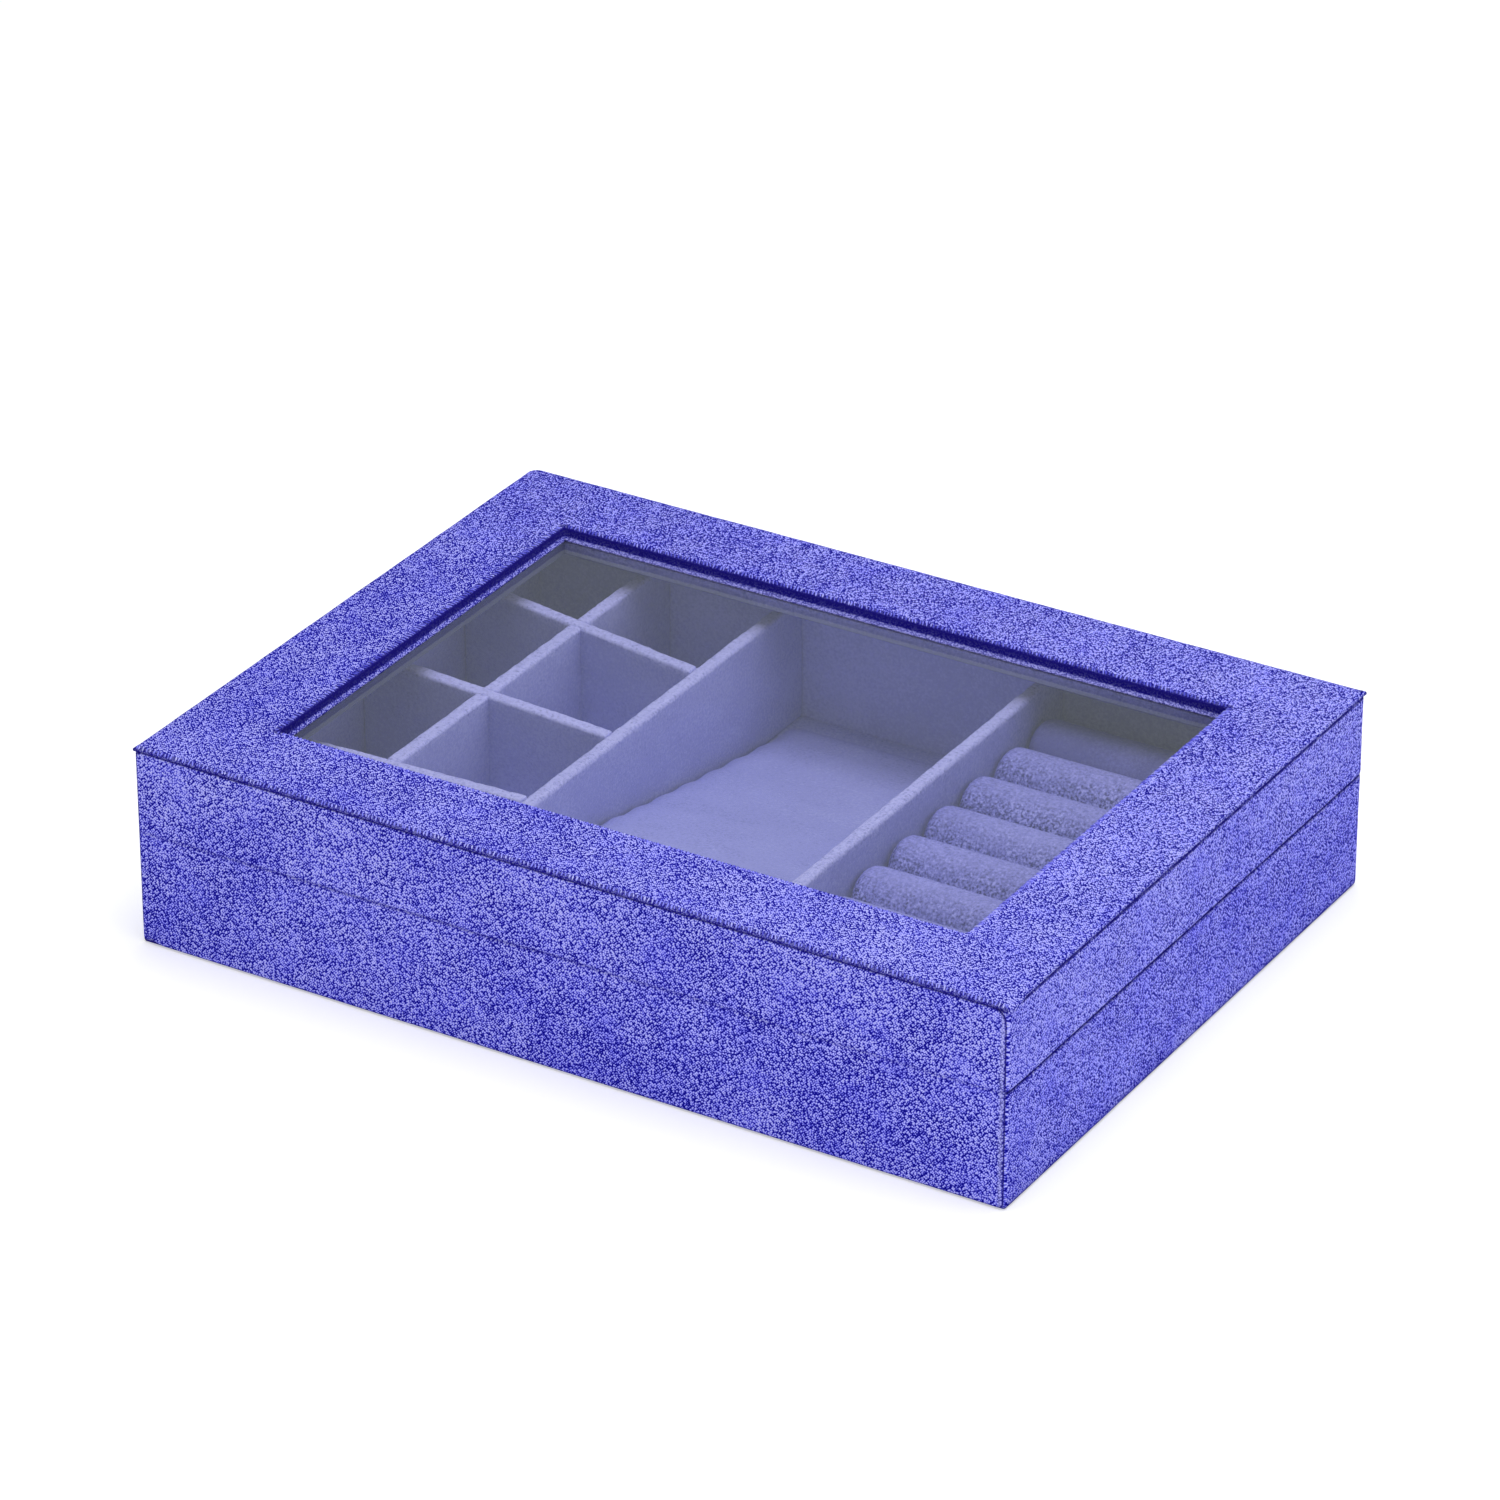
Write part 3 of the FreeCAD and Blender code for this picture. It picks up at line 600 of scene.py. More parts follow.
def sheet_marks(points, inner, outer, flat_start, edge_start, under_start):
    """Navy on the hem, painted shade along the window's far and left edges and along the outer edge, a
    painted highlight on the pile at the glass, and painted light from a darker left to a lighter right.
    """
    seam_and_shade = np.zeros(points.shape[:2])
    tip_highlight = np.zeros(points.shape[:2])
    ears, folded = ear_reach(outer), folded_corner_share(outer)
    # Navy down the hem, and painted shade at the top of its fold along the window's far and left edges
    seam_and_shade[:, :flat_start - 2] = HEM_NAVY
    seam_and_shade[:, flat_start - 2:flat_start] = 0.8 * in_window_shade(inner)[:, None]
    # The hem's toe at the glass is painted pale as a highlight, less on the left, where painted shade dims it
    tip_highlight[:, :HEM_TOE] = np.where(inner[:, 0] < -WINDOW_X + EDGE_REACH, 0.1, 0.45)[:, None]
    # Painted shade in the gap between the sheet and the back panel: a dark line along the hinge edge
    hinge_side = np.clip((0.5 * MM - OUTER_Y - outer[:, 1]) / (0.4 * MM) + 1, 0, 1)
    seam_and_shade[:, edge_start:under_start - 2] = 0.7 * hinge_side[:, None]
    # Painted shade along the outer rim and under the edge, darker at the ears, and none where sheet and side
    # are one fold
    rim = slice(under_start - 4, under_start - 2)
    knob = np.clip(2 * ears / max(SHEET_EARS), 0, 0.9)
    seam_and_shade[:, rim] = np.maximum(seam_and_shade[:, rim], np.maximum(0.3 * (1 - folded), knob)[:, None])
    seam_and_shade[:, under_start - 2:under_start] = 1 - folded[:, None]
    # Painted light: darker at the left, lighter at the right
    shade = np.interp(points[:, :, 0], (-OUTER_X, -WINDOW_X, 0, OUTER_X), SHEET_SHADE)
    return {"seam_and_shade": seam_and_shade, "shade": shade, "tip_highlight": tip_highlight}


def top_sheet(material):
    """The velvet on the lid's frame: turned down into the window, folded round the outer edge."""
    inner, inner_normals = window_edge()
    outer, outer_normals = sheet_edge()
    hem, flat, edge, under = sheet_section()
    section = hem + flat + edge + under
    flat_start = len(hem)
    edge_start = flat_start + len(flat)
    under_start = edge_start + len(edge)
    ears, folded = ear_reach(outer), folded_corner_share(outer)
    points = np.zeros((len(inner), len(section), 3))
    cloth = np.zeros((len(inner), len(section), 2))
    for column, (share, out, up) in enumerate(section):
        plan = inner * (1 - share) + outer * share
        normal = outer_normals if share else inner_normals
        away = np.full(len(inner), out, float)
        lift = np.full(len(inner), up)
        if edge_start <= column < under_start:
            drop = (column - edge_start) / (len(edge) - 1)
            away += ears + folded * drop * FOLDED_OUT
            lift -= folded * drop ** 2 * FOLDED_DOWN
        points[:, column, :2] = plan + normal * away[:, None]
        points[:, column, 2] = lift
        fall = (TOP - lift) * (1 if share else -1)
        cloth[:, column] = points[:, column, :2] + normal * fall[:, None]
    crown = slice(flat_start - 1, edge_start + 2)
    points[:, crown, 2] += 0.16 * MM * ripple(points, 17 * MM, 1)[:, crown]
    edge_wave = 0.14 * MM * ripple(outer, 9 * MM, 2)
    points[:, edge_start:under_start, :2] += edge_wave[:, None, None] * outer_normals[:, None, :]
    marks = sheet_marks(points, inner, outer, flat_start, edge_start, under_start)
    faces = turned(grid_faces(len(inner), len(section), True, True))
    corner_cloth = cloth.reshape(-1, 2)[np.array(faces)]
    piece = make_piece("top_sheet", points, faces, material, corner_cloth, marks)
    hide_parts("lid_top_cover")
    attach(piece, "lid")


def wrap_path():
    """The boards' outer faces on the left, front and right, with short returns on the hinge side."""
    corners = ((-BOARD_X + BACK_RETURN, -BOARD_Y), (-BOARD_X, -BOARD_Y), (-BOARD_X, BOARD_Y),
               (BOARD_X, BOARD_Y), (BOARD_X, -BOARD_Y), (BOARD_X - BACK_RETURN, -BOARD_Y))
    front = WRAP_CORNER - VELVET
    return rounded_path(corners, (0.4 * MM, front, front, 0.4 * MM), 2.5 * MM)


def wrap(name, node, section, dark, shade, body, material, seed):
    """Velvet drawn round three sides of the box from a closed section of (outwards, up) places.
    Dark says how navy each of these places is, painted shade in the gaps under the top sheet, between lid and
    base and at the foot. Shade lightens or darkens the whole piece as painted light."""
    path, normals = wrap_path()
    count = len(section)
    beside = np.clip((path[:, 1] + BOARD_Y) / (0.6 * MM), 0, 1)
    reach = RETURN_REACH + (1 - RETURN_REACH) * beside
    points = sweep(path, normals, section, reach[:, None])
    outside = [column for column, (out, up) in enumerate(section) if out > 0.5 * VELVET]
    wave = 0.14 * MM * ripple(points[:, outside], 21 * MM, seed)
    points[:, outside, :2] += wave[:, :, None] * normals[:, None, :]
    uneven = 1 + 0.7 * ripple(path, 4 * MM, seed + 20)
    seam_and_shade = np.clip(np.array(dark)[None, :] * uneven[:, None], 0, 1)
    along, across = distances(path, False), distances(section, True)
    faces = grid_faces(len(path), count, False, True)
    cloth = grid_cloth(along, across)
    last = (len(path) - 1) * count
    for end in (tuple(range(count)), tuple(reversed(range(last, last + count)))):
        faces.append(end)
        cloth += [(along[index // count], across[index % count]) for index in end]
    marks = {"seam_and_shade": seam_and_shade, "shade": np.full(seam_and_shade.shape, shade)}
    piece = make_piece(name, points, faces, material, cloth, marks)
    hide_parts(node)
    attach(piece, body)


def lid_wrap(material):
    """The lid's side velvet, from under the top sheet down to the rim and in below the walls."""
    top, rim = SHEET_UNDER - 0.12 * MM, LID_RIM
    face = [(VELVET, up) for up in spread(top - 1.2 * MM, rim + 1 * MM, 3 * MM)]
    section = [(0, top), (0.35 * VELVET, top), (0.75 * VELVET, top - 0.3 * MM),
               (0.95 * VELVET, top - 0.7 * MM)] + face
    section += [(0.9 * VELVET, rim + 0.35 * MM), (0.55 * VELVET, rim + 0.06 * MM), (-0.3 * MM, rim),
                (-LID_WALL, rim), (-LID_WALL, rim + 0.7 * MM), (0, rim + 0.75 * MM)]
    # Navy under the top sheet and round the rim: painted shade in the gaps
    dark = [1, 1, 1, 0.9] + [0] * len(face) + [0.3, 1, 1, 0.4, 0, 0]
    wrap("lid_wrap", "lid_cover", section, dark, LID_SHADE, "lid", material, 3)


def base_wrap(material):
    """The base's side velvet, from over the walls' rim down to the foot."""
    foot, rim = 0.35 * MM, BASE_RIM
    face = [(VELVET, up) for up in spread(rim - 1 * MM, foot + 1.4 * MM, 3 * MM)]
    section = [(0, rim - 0.75 * MM), (-BASE_WALL, rim - 0.7 * MM), (-BASE_WALL, rim), (-0.3 * MM, rim),
               (0.55 * VELVET, rim - 0.06 * MM), (0.9 * VELVET, rim - 0.35 * MM)] + face
    section += [(0.85 * VELVET, foot + 0.5 * MM), (0.45 * VELVET, foot), (0, UNDERSIDE_TOP)]
    # Navy round the rim and at the foot: painted shade at the split and under the box
    dark = [0, 0, 0.4, 1, 1, 0.45] + [0] * (len(face) - 1) + [0.2, 0.9, 1, 1]
    wrap("base_wrap", "base_cover", section, dark, BASE_SHADE, "base", material, 4)


def back_rims(material):
    """Velvet on the edges of the two walls at the hinge, which show when the lid is open."""
    half = BOARD_X - BACK_RETURN
    for body, wall, low, high in (("base", BASE_WALL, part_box("base_back_wall")[1].z, BASE_RIM),
                                  ("lid", LID_WALL, LID_RIM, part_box("lid_back_wall")[0].z)):
        strip = ((-half, -BOARD_Y, low), (half, -BOARD_Y + wall, high))
        piece = boards(f"{body}_back_rim", [strip], 0.3 * MM, 4 * MM, material, swell=0)
        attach(piece, body)


def panel_grid(half, foot, top):
    """Columns and rows of the back panel, closer together along its rim and where it bends."""
    inset, bend, gap = 3 * MM, 2.1 * MM, 0.7 * MM
    xs = [-half + PANEL_RIM, spread(-half + inset, half - inset, PANEL_STEP), half - PANEL_RIM[::-1]]
    zs = [foot + PANEL_RIM, spread(foot + inset, SPLIT - bend - gap, PANEL_STEP),
          spread(SPLIT - bend, SPLIT + bend, 0.3 * MM),
          spread(SPLIT + bend + gap, top - inset, PANEL_STEP), top - PANEL_RIM[::-1]]
    return np.concatenate(xs), np.concatenate(zs)


def round_panel(plan_x, plan_z, half, foot, top):
    """The back panel's points with those at its corners drawn in to a rounding."""
    for (sign_x, sign_z), radius in zip(CORNER_SIGNS, PANEL_CORNERS):
        centre_x = sign_x * (half - radius)
        centre_z = foot + radius if sign_z < 0 else top - radius
        out_x = np.clip((plan_x - centre_x) * sign_x, 0, None)
        out_z = np.clip((plan_z - centre_z) * sign_z, 0, None)
        at_corner = (out_x > 0) & (out_z > 0)
        length = np.where(at_corner, np.hypot(out_x, out_z), 1)
        shrink = np.where(at_corner, np.maximum(out_x, out_z) / length, 1)
        plan_x = np.where(shrink < 1, centre_x + (plan_x - centre_x) * shrink, plan_x)
        plan_z = np.where(shrink < 1, centre_z + (plan_z - centre_z) * shrink, plan_z)
    return plan_x, plan_z


def back_panel(material):
    """One velvet panel on the hinge side from the foot to the top sheet, with a crease where it bends."""
    half = BOARD_X + VELVET - PANEL_INSET
    foot, top = 0.5 * MM, SHEET_UNDER - 0.05 * MM
    thick, face_y = 0.5 * VELVET, -OUTER_Y - 0.05 * MM
    xs, zs = panel_grid(half, foot, top)
    plan_x, plan_z = np.meshgrid(xs, zs, indexing="ij")
    rim_gap = np.minimum.reduce([plan_x + half, half - plan_x, plan_z - foot, top - plan_z])
    plan_x, plan_z = round_panel(plan_x, plan_z, half, foot, top)
    still = np.zeros(plan_x.shape)
    swell = 0.1 * MM * ripple(np.stack([plan_x, still + face_y, plan_z], -1), 24 * MM, 5)
    crease = SPLIT + 0.7 * MM * ripple(np.stack([plan_x, still, still], -1), 26 * MM, 6)
    depth = MM * np.interp(plan_x / half, CREASE_PLACES, CREASE_DEPTHS)
    groove = depth * hill(plan_z - crease, CREASE_WIDTH)
    shoulder = 0.35 * depth * hill(plan_z - crease - 1.6 * MM, 1.5 * MM)
    round_off = np.clip(1 - rim_gap / (0.8 * MM), 0, 1) ** 2 * thick
    front = np.stack([plan_x, face_y + round_off - swell + groove - shoulder, plan_z], -1)
    behind = np.stack([plan_x, still + face_y + thick, plan_z], -1)
    # Navy round the rim, a seam line partly painted as shade in the gap, and painted shade in the crease
    seam_and_shade = np.clip(1.8 - rim_gap / (0.275 * MM), 0, 1)
    seam_and_shade = np.clip(np.maximum(seam_and_shade, CREASE_SHADE * groove), 0, 1)
    # A painted highlight beside the right edge
    tip_highlight = np.where(plan_x > 0, 0.6 * hill(half - plan_x - 1 * MM, 0.45 * MM), 0)
    # Painted light: lighter above the split, darker below
    shade = 0.06 * np.clip((plan_z - SPLIT) / (20 * MM), -1, 1)
    marks = {"seam_and_shade": [seam_and_shade, still + PANEL_INSIDE_NAVY], "tip_highlight": [tip_highlight, still], "shade": [shade, still]}
    rows, columns = plan_x.shape
    faces = slab_faces(rows, columns)
    cloth = [(xs[index // columns % rows], zs[index % columns]) for face in faces for index in face]
    piece = make_piece("back_panel", [front, behind], faces, material, cloth, marks)
    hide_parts("back_cover_lower", "hinge_cloth", "back_cover_upper")
    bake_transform(piece)


def bead(middle, lean, across, sizes):
    """Points of a small loop of pile that lies along lean, ring by ring."""
    long, wide, tall = sizes
    up = np.cross(lean, across)
    points = []
    for ring in range(BEAD_RINGS):
        angle = math.pi * (0.08 + 0.84 * ring / (BEAD_RINGS - 1))
        for spoke in range(BEAD_SPOKES):
            turn = 2 * math.pi * spoke / BEAD_SPOKES
            around = across * wide * math.cos(turn) + up * tall * math.sin(turn)
            points.append(middle - lean * long * math.cos(angle) + math.sin(angle) * around)
    return points


def pile_loops(name, edge, normals, inset, height, drop, material, seed, highest_y=1, shading=0):
    """Loops of pile that stand up where the cloth is folded over an edge, as a row of small slanted beads.
    Shading is how much darker they are where the window's edge lies in shade."""
    draw = random.Random(seed)
    gaps = distances(edge, True)
    closed = np.hstack([np.vstack([edge, edge[:1]]), np.vstack([normals, normals[:1]])])
    bead_faces = tube_faces(BEAD_RINGS, BEAD_SPOKES)
    points, faces, shades = [], [], []
    for count in range(int(gaps[-1] / LOOP_PITCH)):
        at = (count + draw.uniform(-LOOP_JITTER, LOOP_JITTER)) * LOOP_PITCH % gaps[-1]
        place = np.array([np.interp(at, gaps, values) for values in closed.T])
        centre, out = place[:2], place[2:]
        if draw.random() > LOOP_SHARE or centre[1] > highest_y:
            continue
        out = out / np.linalg.norm(out)
        side = np.array([-out[1], out[0]])
        sizes = [size * draw.uniform(0.75, 1.25) * MM for size in BEAD_SIZE]
        slant = draw.uniform(0.15, 0.7)
        lean = np.array([*(out + side * slant), -drop])
        lean /= np.linalg.norm(lean)
        across = np.array([*(side - out * slant), 0])
        across /= np.linalg.norm(across)
        faces += [tuple(len(points) + index for index in face) for face in bead_faces]
        points += bead(np.array([*(centre + out * inset), height]), lean, across, sizes)
        shade = draw.uniform(-0.3, 0.4) - shading * in_window_shade(centre)
        shades += [shade] * (BEAD_RINGS * BEAD_SPOKES)
    piece = make_piece(name, points, faces, material, marks={"shade": shades})
    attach(piece, "lid")


def underside(material):
    """The cloth under the box, set in a little so that the foot of the side velvet shows a shadow."""
    inset = 0.9 * MM
    (low_x, low_y, low_z), (high_x, high_y, high_z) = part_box("underside_cloth")
    low = Vector((low_x + inset, low_y + inset, low_z))
    high = Vector((high_x - inset, high_y - inset, high_z))
    piece = boards("underside_sheet", [(low, high)], 0.3 * MM, 6 * MM, material, swell=0)
    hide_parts("underside_cloth")
    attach(piece, "base")


# Velvet-covered boards inside
def board_places(low, high, radius, step):
    """Places along one side of a rounded board: close together in its rounding, step apart between."""
    bends = [radius * (1 - math.tan(angle)) for angle in np.linspace(math.pi / 4, 0, 4)[:-1]]
    middle = spread(low + radius, high - radius, step)
    return np.array([low + bend for bend in bends] + list(middle) + [high - bend for bend in reversed(bends)])


def rounded_box(low, high, radius, step):
    """Points, faces and cloth coordinates of a board with rounded edges and an even grid on each side."""
    places = [board_places(low[axis], high[axis], radius, step) for axis in range(3)]
    counts = [len(p) for p in places]
    index, points, faces, cloth = {}, [], [], []

    def corner(key):
        if key not in index:
            place = np.array([places[axis][key[axis]] for axis in range(3)])
            core = np.clip(place, np.array(low) + radius, np.array(high) - radius)
            away = place - core
            index[key] = len(points)
            points.append(core + away / np.linalg.norm(away) * radius)
        return index[key]

    for axis in range(3):
        across, along = (axis + 1) % 3, (axis + 2) % 3
        ends, rows, columns = (0, counts[axis] - 1), range(counts[across] - 1), range(counts[along] - 1)
        for end, i, j in product(ends, rows, columns):
            ring = ((i, j), (i + 1, j), (i + 1, j + 1), (i, j + 1))
            face = []
            for first, second in ring if end else reversed(ring):
                key = [0, 0, 0]
                key[axis], key[across], key[along] = end, first, second
                face.append(corner(tuple(key)))
                cloth.append((places[across][first], places[along][second]))
            faces.append(tuple(face))
    return points, faces, cloth


def boards(name, boxes, radius, step, material, swell=0.12 * MM, highlight_depth=0, askew=(0, 0), shade=0):
    """One piece of velvet-covered boards, each from a lowest and a highest corner.
    Swell is the unevenness of the sides, and the depth of the pale tops is how far down from the top the pile
    is painted pale as a highlight. Shade lightens or darkens the whole piece as painted light.
    Askew is the x about which a board is turned in plan, and its slope there."""
    points, faces, cloth = [], [], []
    for low, high in boxes:
        box_points, box_faces, box_cloth = rounded_box(low, high, radius, step)
        faces += [tuple(index + len(points) for index in face) for face in box_faces]
        points += box_points
        cloth += box_cloth
    points = np.array(points)
    top = points[:, 2].max()
    # Painted highlight: the pile turns pale towards the top
    tip_highlight = np.clip((points[:, 2] - top) / highlight_depth + 1, 0, 1) if highlight_depth else np.zeros(len(points))
    if swell:
        middle = np.mean([(np.array(low) + np.array(high)) / 2 for low, high in boxes], axis=0)
        thin = int(np.argmin(np.array(boxes[0][1]) - np.array(boxes[0][0])))
        wave = ripple(points, 11 * MM, len(name))
        points[:, thin] += swell * wave * np.sign(points[:, thin] - middle[thin])
        fuzz = np.where(points[:, 2] > top - radius, swell, 0)
        points[:, 2] += 2 * fuzz * ripple(points, 2.1 * MM, 2)
        points[:, thin] += 2 * fuzz * ripple(points, 2.3 * MM, 3)
    points[:, 1] += askew[1] * (points[:, 0] - askew[0])
    marks = {"tip_highlight": 0.85 * tip_highlight, "shade": np.full(len(points), shade)}
    return make_piece(name, points, faces, material, cloth, marks)


def place_board(node, boxes, radius, material, highlight_depth, askew=(0, 0), shade=LINING_SHADE):
    """Velvet-covered boards in the place of a CAD node of the base."""
    piece = boards(f"{node}_velvet", boxes, radius, 1.6 * MM, material, highlight_depth=highlight_depth, askew=askew,
                   shade=shade)
    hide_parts(node)
    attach(piece, "base")


def inside_boards(material):
    """Lining cards, dividers and floor of the base. The loose cell dividers stand a little askew."""
    for side in ("front", "back", "left", "right"):
        node = f"{side}_lining"
        # Painted light: linings a little lighter, the front lining most
        shade = FRONT_LINING_SHADE if side == "front" else LINING_SHADE
        place_board(node, [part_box(node)], 0.8 * MM, material, 1.4 * MM, shade=shade)
    for node in ("left_long_divider", "right_long_divider"):
        place_board(node, [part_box(node)], 1.25 * MM, material, 1.7 * MM)
    low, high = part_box("cell_spine")
    spine_x = (low.x + high.x) / 2
    ends = [low.y]
    for row, slope in enumerate(DIVIDER_SLOPES, 1):
        node = f"cell_divider_{row}"
        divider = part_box(node)
        place_board(node, [divider], 1 * MM, material, 1.5 * MM, (spine_x, slope))
        ends += [divider[0].y + DIVIDER_LAP, divider[1].y - DIVIDER_LAP]
    ends.append(high.y)
    spans = [((low.x, start, low.z), (high.x, end, high.z)) for start, end in zip(ends[::2], ends[1::2])]
    place_board("cell_spine", spans, 1 * MM, material, 1.5 * MM)
    place_board("floor_lining", [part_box("floor_lining")], 0.3 * MM, material, 0)


def lid_lining(material):
    """Velvet glued round the inside of the lid's walls."""
    low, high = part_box("lid_lining")
    thick, slack = 0.4 * MM, 0.05 * MM
    loop, outward = frame_loop(high.x - slack, high.y - slack, (0.5 * MM,) * 4, 4 * MM)
    heights = spread(low.z + slack, high.z - slack, 3 * MM)
    section = [(0, up) for up in heights] + [(-thick, up) for up in reversed(heights)]
    points = sweep(loop, outward, section)
    inside = slice(len(heights), None)
    wave = 0.12 * MM * ripple(points[:, inside], 15 * MM, 7)
    points[:, inside, :2] += wave[:, :, None] * outward[:, None, :]
    along = distances(loop, True)
    faces = grid_faces(len(loop), len(section), True, True)
    cloth = grid_cloth(along, distances(section, True))
    piece = make_piece("lid_lining_velvet", points, faces, material, cloth)
    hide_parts("lid_lining")
    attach(piece, "lid")


def window_edging(material):
    """Velvet strips along the inner edges of the glass retainers, painted palest next to the glass as a
    highlight.
    The left strip lies in shade."""
    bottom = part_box("glass_retainer_front")[0].z - 2.4 * MM
    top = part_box("glass_pane")[0].z - 0.1 * MM
    inside, behind = 0.5 * MM, 0.3 * MM
    left = [((-WINDOW_X - behind, -WINDOW_Y, bottom), (-WINDOW_X + inside, WINDOW_Y, top))]
    rest = [((WINDOW_X - inside, -WINDOW_Y, bottom), (WINDOW_X + behind, WINDOW_Y, top)),
            ((-WINDOW_X, -WINDOW_Y - behind, bottom), (WINDOW_X, -WINDOW_Y + inside, top)),
            ((-WINDOW_X, WINDOW_Y - inside, bottom), (WINDOW_X, WINDOW_Y + behind, top))]
    # The left strip gets no pale top and is painted darker, as shade
    for name, boxes, pale, shade in (("window_edging", rest, 1.2 * MM, 0),
                                     ("window_edging_left", left, 0, -0.5)):
        piece = boards(name, boxes, 0.2 * MM, 4 * MM, material, swell=0, highlight_depth=pale, shade=shade)
        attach(piece, "lid")


# Padded pieces
def coordinates(mesh):
    """All points of a mesh as an array."""
    places = np.zeros(len(mesh.vertices) * 3, np.float32)
    mesh.vertices.foreach_get("co", places)
    return places.reshape(-1, 3)


def bake_modifiers(piece):
    """Replace a piece's mesh by what its modifiers make of it."""
    shown = piece.evaluated_get(bpy.context.evaluated_depsgraph_get())
    mesh = bpy.data.meshes.new_from_object(shown)
    piece.modifiers.clear()
    piece.data = mesh


def inflate(piece, voxel, cap):
    """Blow a closed cover up like a stuffed pad, with no point moving further than cap."""
    even = piece.modifiers.new("even_mesh", "REMESH")
    even.mode = "VOXEL"
    even.voxel_size = voxel
    bake_modifiers(piece)
    start = coordinates(piece.data)
    stuffing = piece.modifiers.new("stuffing", "CLOTH")
    stuffing.settings.use_pressure = True
    stuffing.settings.uniform_pressure_force = PRESSURE
    stuffing.settings.effector_weights.gravity = 0
    for step in range(1, SWELL_FRAMES + 1):
        bpy.context.scene.frame_set(step)
    end = coordinates(piece.evaluated_get(bpy.context.evaluated_depsgraph_get()).data)
    piece.modifiers.clear()
    bpy.context.scene.frame_set(1)
    move = end - start
    length = np.maximum(np.linalg.norm(move, axis=1), 1e-9)
    move *= np.minimum(1, cap / length)[:, None]
    piece.data.vertices.foreach_set("co", (start + move).ravel())
    fine = piece.modifiers.new("fine_mesh", "SUBSURF")
    fine.levels = fine.render_levels = 1
    bake_modifiers(piece)
    piece.data.polygons.foreach_set("use_smooth", [True] * len(piece.data.polygons))


def mark_nap_and_light(piece, low, high, smooth):
    """Make a roll's pile paler, a painted highlight on its top, and calmer where a point's height comes from
    low to high.
    A smooth roll is calm and painted a little darker all over, as shade."""
    heights = coordinates(piece.data)[:, 2]
    share = np.clip((heights - low) / (high - low), 0, 1) ** 2
    even = np.ones(len(share))
    if smooth:
        marks = {"tip_highlight": 0.3 * share, "calm": 0.9 * even, "shade": -0.15 * even}
    else:
        marks = {"tip_highlight": 0.5 * share, "calm": 0.8 * share}
    mark_points(piece.data, marks)


def ring_roll(node, material, smooth):
    """A foam roll in a velvet cover that is drawn in at its ends."""
    low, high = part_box(node)
    slack, end_round, spokes = 0.5 * MM, 3.2 * MM, 40
    radius = (high.y - low.y) / 2 - slack
    middle_y, middle_z = (low.y + high.y) / 2, high.z - slack - radius
    start, end = low.x + slack, high.x - slack
    rounding = [(end_round * (1 - math.cos(angle)), radius - end_round * (1 - math.sin(angle)))
                for angle in np.linspace(0, math.pi / 2, 6)]
    section = [(start + along, reach) for along, reach in rounding]
    section += [(along, radius) for along in spread(start + end_round, end - end_round, 3 * MM)[1:-1]]
    section += [(end - along, reach) for along, reach in reversed(rounding)]
    points = []
    for along, reach in section:
        for spoke in range(spokes):
            turn = 2 * math.pi * spoke / spokes
            up = middle_z + reach * math.sin(turn)
            points.append((along, middle_y + reach * math.cos(turn), max(up, low.z + 0.1 * MM)))
    piece = make_piece(f"{node}_velvet", points, tube_faces(len(section), spokes), material)
    inflate(piece, 1.9 * MM, slack)
    mark_nap_and_light(piece, middle_z + 0.3 * radius, high.z, smooth)
    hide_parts(node)
    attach(piece, "base")


def ring_bed(material):
    """The foam bed under the rolls."""
    low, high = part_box("ring_bed")
    slack = 0.3 * MM
    inner_low = Vector((low.x + slack, low.y + slack, low.z + 0.05 * MM))
    inner_high = Vector((high.x - slack, high.y - slack, high.z - slack))
    piece = boards("ring_bed_velvet", [(inner_low, inner_high)], 2 * MM, 4 * MM, material, swell=0.2 * MM)
    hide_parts("ring_bed")
    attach(piece, "base")


def display_ramp(material):
    """The sloping pad of the middle section, high at the hinge and a little hollow."""
    low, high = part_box("display_ramp")
    slack, edge = 0.6 * MM, 1.2 * MM
    front_rise, hollow = 0.8 * MM, 2.4 * MM
    run = high.y - low.y
    xs = board_places(low.x + slack, high.x - slack, edge, 4 * MM)
    ys = board_places(low.y + slack, high.y - slack, edge, 4 * MM)
    lower, upper = [], []
    for x in xs:
        for y in ys:
            share = (high.y - y) / run
            slope = front_rise + share * (high.z - low.z - front_rise) - 4 * hollow * share * (1 - share)
            rim = min(x - low.x - slack, high.x - slack - x, y - low.y - slack, high.y - slack - y)
            fall = edge * (1 - math.sqrt(1 - (1 - min(rim, edge) / edge) ** 2))
            lower.append((x, y, low.z + 0.05 * MM))
            upper.append((x, y, low.z + max(slope - slack - 0.6 * fall, 0.35 * MM)))
    faces = turned(slab_faces(len(xs), len(ys)))
    piece = make_piece("display_ramp_velvet", lower + upper, faces, material)
    inflate(piece, 2.4 * MM, slack)
    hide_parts("display_ramp")
    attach(piece, "base")


# CAD nodes that show as they are
def dress_nodes(board, glass, lining):
    """Materials for the boards, the glass and the cloth-covered strips of the lid."""
    for name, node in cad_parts.items():
        if name.endswith(("_wall", "_rail")) or name == "bottom_board":
            material = board
        elif name == "glass_pane":
            material = glass
        else:
            material = lining
        node.data.materials.clear()
        node.data.materials.append(material)
    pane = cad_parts["glass_pane"]
    pane.visible_shadow = False
    pane.visible_diffuse = False


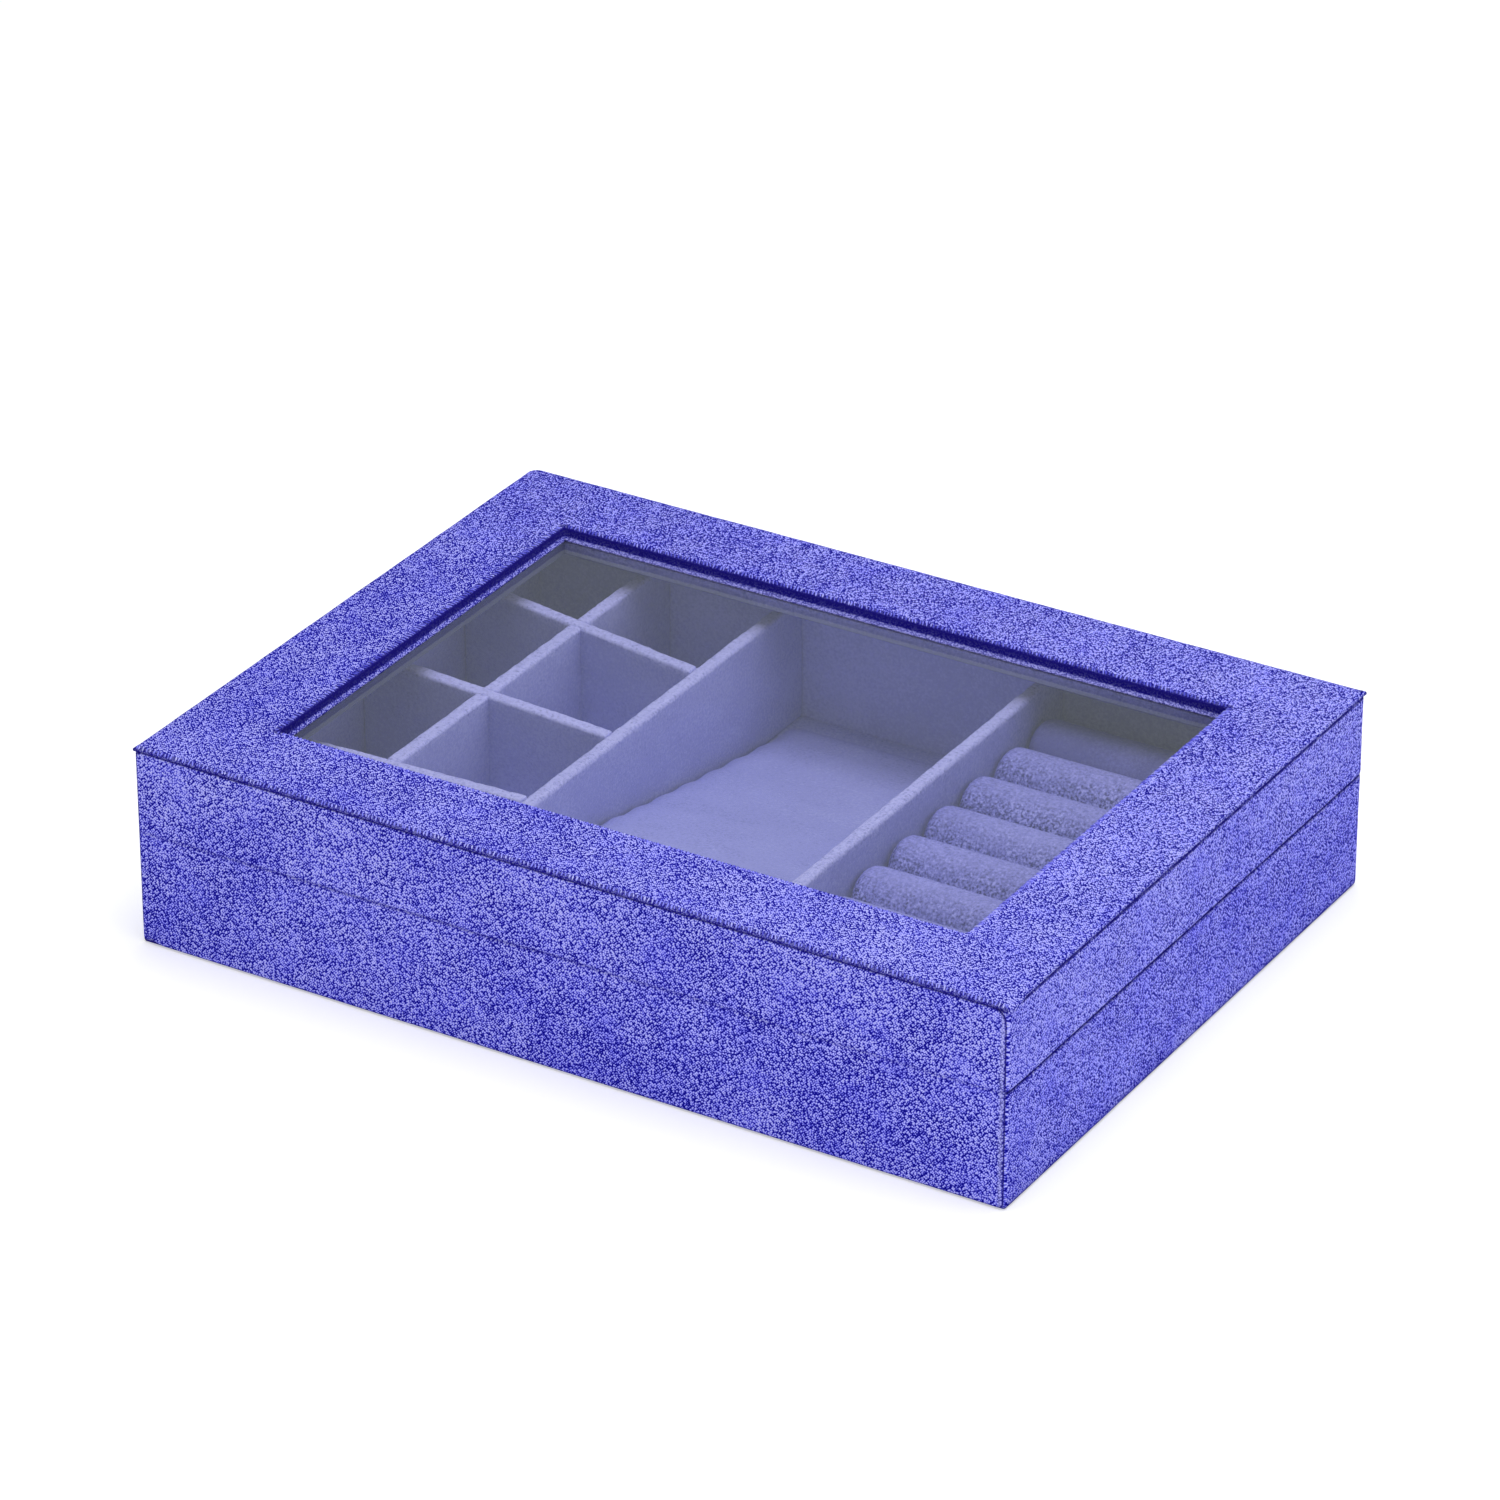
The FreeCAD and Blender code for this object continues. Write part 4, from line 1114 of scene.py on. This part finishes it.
# Stage
def floor():
    """A white floor that keeps the box's soft shadow. Rays that show it see it glow."""
    half = 4
    material, tree, shader = new_material("white_floor")
    set_inputs(shader, {"Base Color": (0.86, 0.86, 0.87, 1), "Roughness": 1, "Specular IOR Level": 0})
    glow = add_node(tree, "ShaderNodeEmission", {"Color": WHITE, "Strength": FLOOR_GLOW})
    lit = add_node(tree, "ShaderNodeAddShader", {0: shader.outputs[0], 1: glow.outputs[0]})
    path = add_node(tree, "ShaderNodeLightPath").outputs
    seen = arithmetic(tree, "MAXIMUM", path["Is Camera Ray"], path["Is Transmission Ray"])
    seen = arithmetic(tree, "MAXIMUM", seen, path["Is Glossy Ray"])
    shown = add_node(tree, "ShaderNodeMixShader", {0: seen, 1: shader.outputs[0], 2: lit.outputs[0]})
    set_inputs(tree.nodes["Material Output"], {"Surface": shown.outputs[0]})
    points = [(x * half, y * half, 0) for x, y in CORNER_SIGNS]
    piece = make_piece("floor", points, [(0, 1, 2, 3)], material)


def softbox(name, place, size, power):
    """A wide lamp that points at the box."""
    lamp = bpy.data.lights.new(name, "AREA")
    lamp.shape = "RECTANGLE"
    lamp.size, lamp.size_y = size
    lamp.energy = power
    item = add_object(name, lamp)
    item.location = place
    item.rotation_euler = (-item.location).to_track_quat("-Z", "Y").to_euler()
    return item


def studio_light():
    """A soft dome, a softbox overhead, and weaker ones low by the hinge and on the right.
    The glass doesn't mirror the one on the right."""
    world = bpy.data.worlds.new("studio")
    world.use_nodes = True
    bpy.context.scene.world = world
    tree = world.node_tree
    direction = add_node(tree, "ShaderNodeTexCoord").outputs["Generated"]
    parts = add_node(tree, "ShaderNodeSeparateXYZ", {"Vector": direction}).outputs
    level = arithmetic(tree, "MULTIPLY_ADD", parts["Z"], DOME_ABOVE, DOME_LEVEL)
    level = arithmetic(tree, "MULTIPLY_ADD", parts["Y"], DOME_FRONT, level)
    front = add_node(tree, "ShaderNodeMapRange", {"Value": parts["Y"], "From Min": 0, "From Max": 0.75})
    tint = mix_colour(tree, front.outputs["Result"], WHITE, DOME_TINT)
    set_inputs(tree.nodes["Background"], {"Color": tint, "Strength": level})
    softbox("overhead", *OVERHEAD)
    softbox("hinge_fill", *HINGE_FILL)
    side_fill = softbox("side_fill", *SIDE_FILL)
    side_fill.visible_glossy = False
    side_fill.visible_transmission = False


def camera():
    """The photograph's own viewpoint."""
    data = bpy.data.cameras.new("camera")
    data.sensor_width = SENSOR
    data.lens = LENS
    data.clip_end = 20
    viewer = add_object("camera", data)
    viewer.location = CAMERA_PLACE
    viewer.rotation_euler = (math.pi / 2 - CAMERA_ELEVATION, 0, CAMERA_AZIMUTH)
    bpy.context.scene.camera = viewer


def build():
    """The dressed box on its stage."""
    slant = math.radians(45)
    top_velvet = velvet("top_velvet", OUTER_SHADES, 2.1, 0.12, slant)
    side_velvet = velvet("side_velvet", OUTER_SHADES, 1.5, 0.12, slant)
    back_velvet = velvet("back_velvet", OUTER_SHADES, 1.7, 0.13, -slant)
    lining = velvet("lining_velvet", LINING_SHADES, 0.6, 0.1)
    pad = velvet("pad_velvet", LINING_SHADES, 0.5, 0.1)
    roll = velvet("roll_velvet", ROLL_SHADES, 2.6, 0.1)
    edging = velvet("edging_velvet", EDGING_SHADES, 0.8, 0.1)
    pile = velvet("pile_loops", LOOP_SHADES, 1, 0.2)
    dress_nodes(fibreboard(), window_glass(), edging)
    top_sheet(top_velvet)
    lid_wrap(side_velvet)
    base_wrap(side_velvet)
    back_rims(side_velvet)
    back_panel(back_velvet)
    underside(side_velvet)
    outer, outward = sheet_edge()
    pile_loops("edge_loops", outer, outward, -0.95 * MM, TOP - 0.02 * MM, 0.25, pile, 1,
               highest_y=-OUTER_Y + 0.5 * MM)
    window, outward = window_edge()
    pile_loops("window_loops", window, -outward, -1 * MM, TOP, 0.2, pile, 2, shading=0.2)
    inside_boards(lining)
    # The last roll lies under the lid's far rail: it is the smooth one, painted darker as shade
    for count in range(1, ROLL_COUNT + 1):
        ring_roll(f"ring_roll_{count}", roll, count == ROLL_COUNT)
    ring_bed(roll)
    display_ramp(pad)
    lid_lining(lining)
    window_edging(edging)
    floor()
    studio_light()
    camera()
    bpy.context.scene.view_settings.view_transform = "Standard"


build()
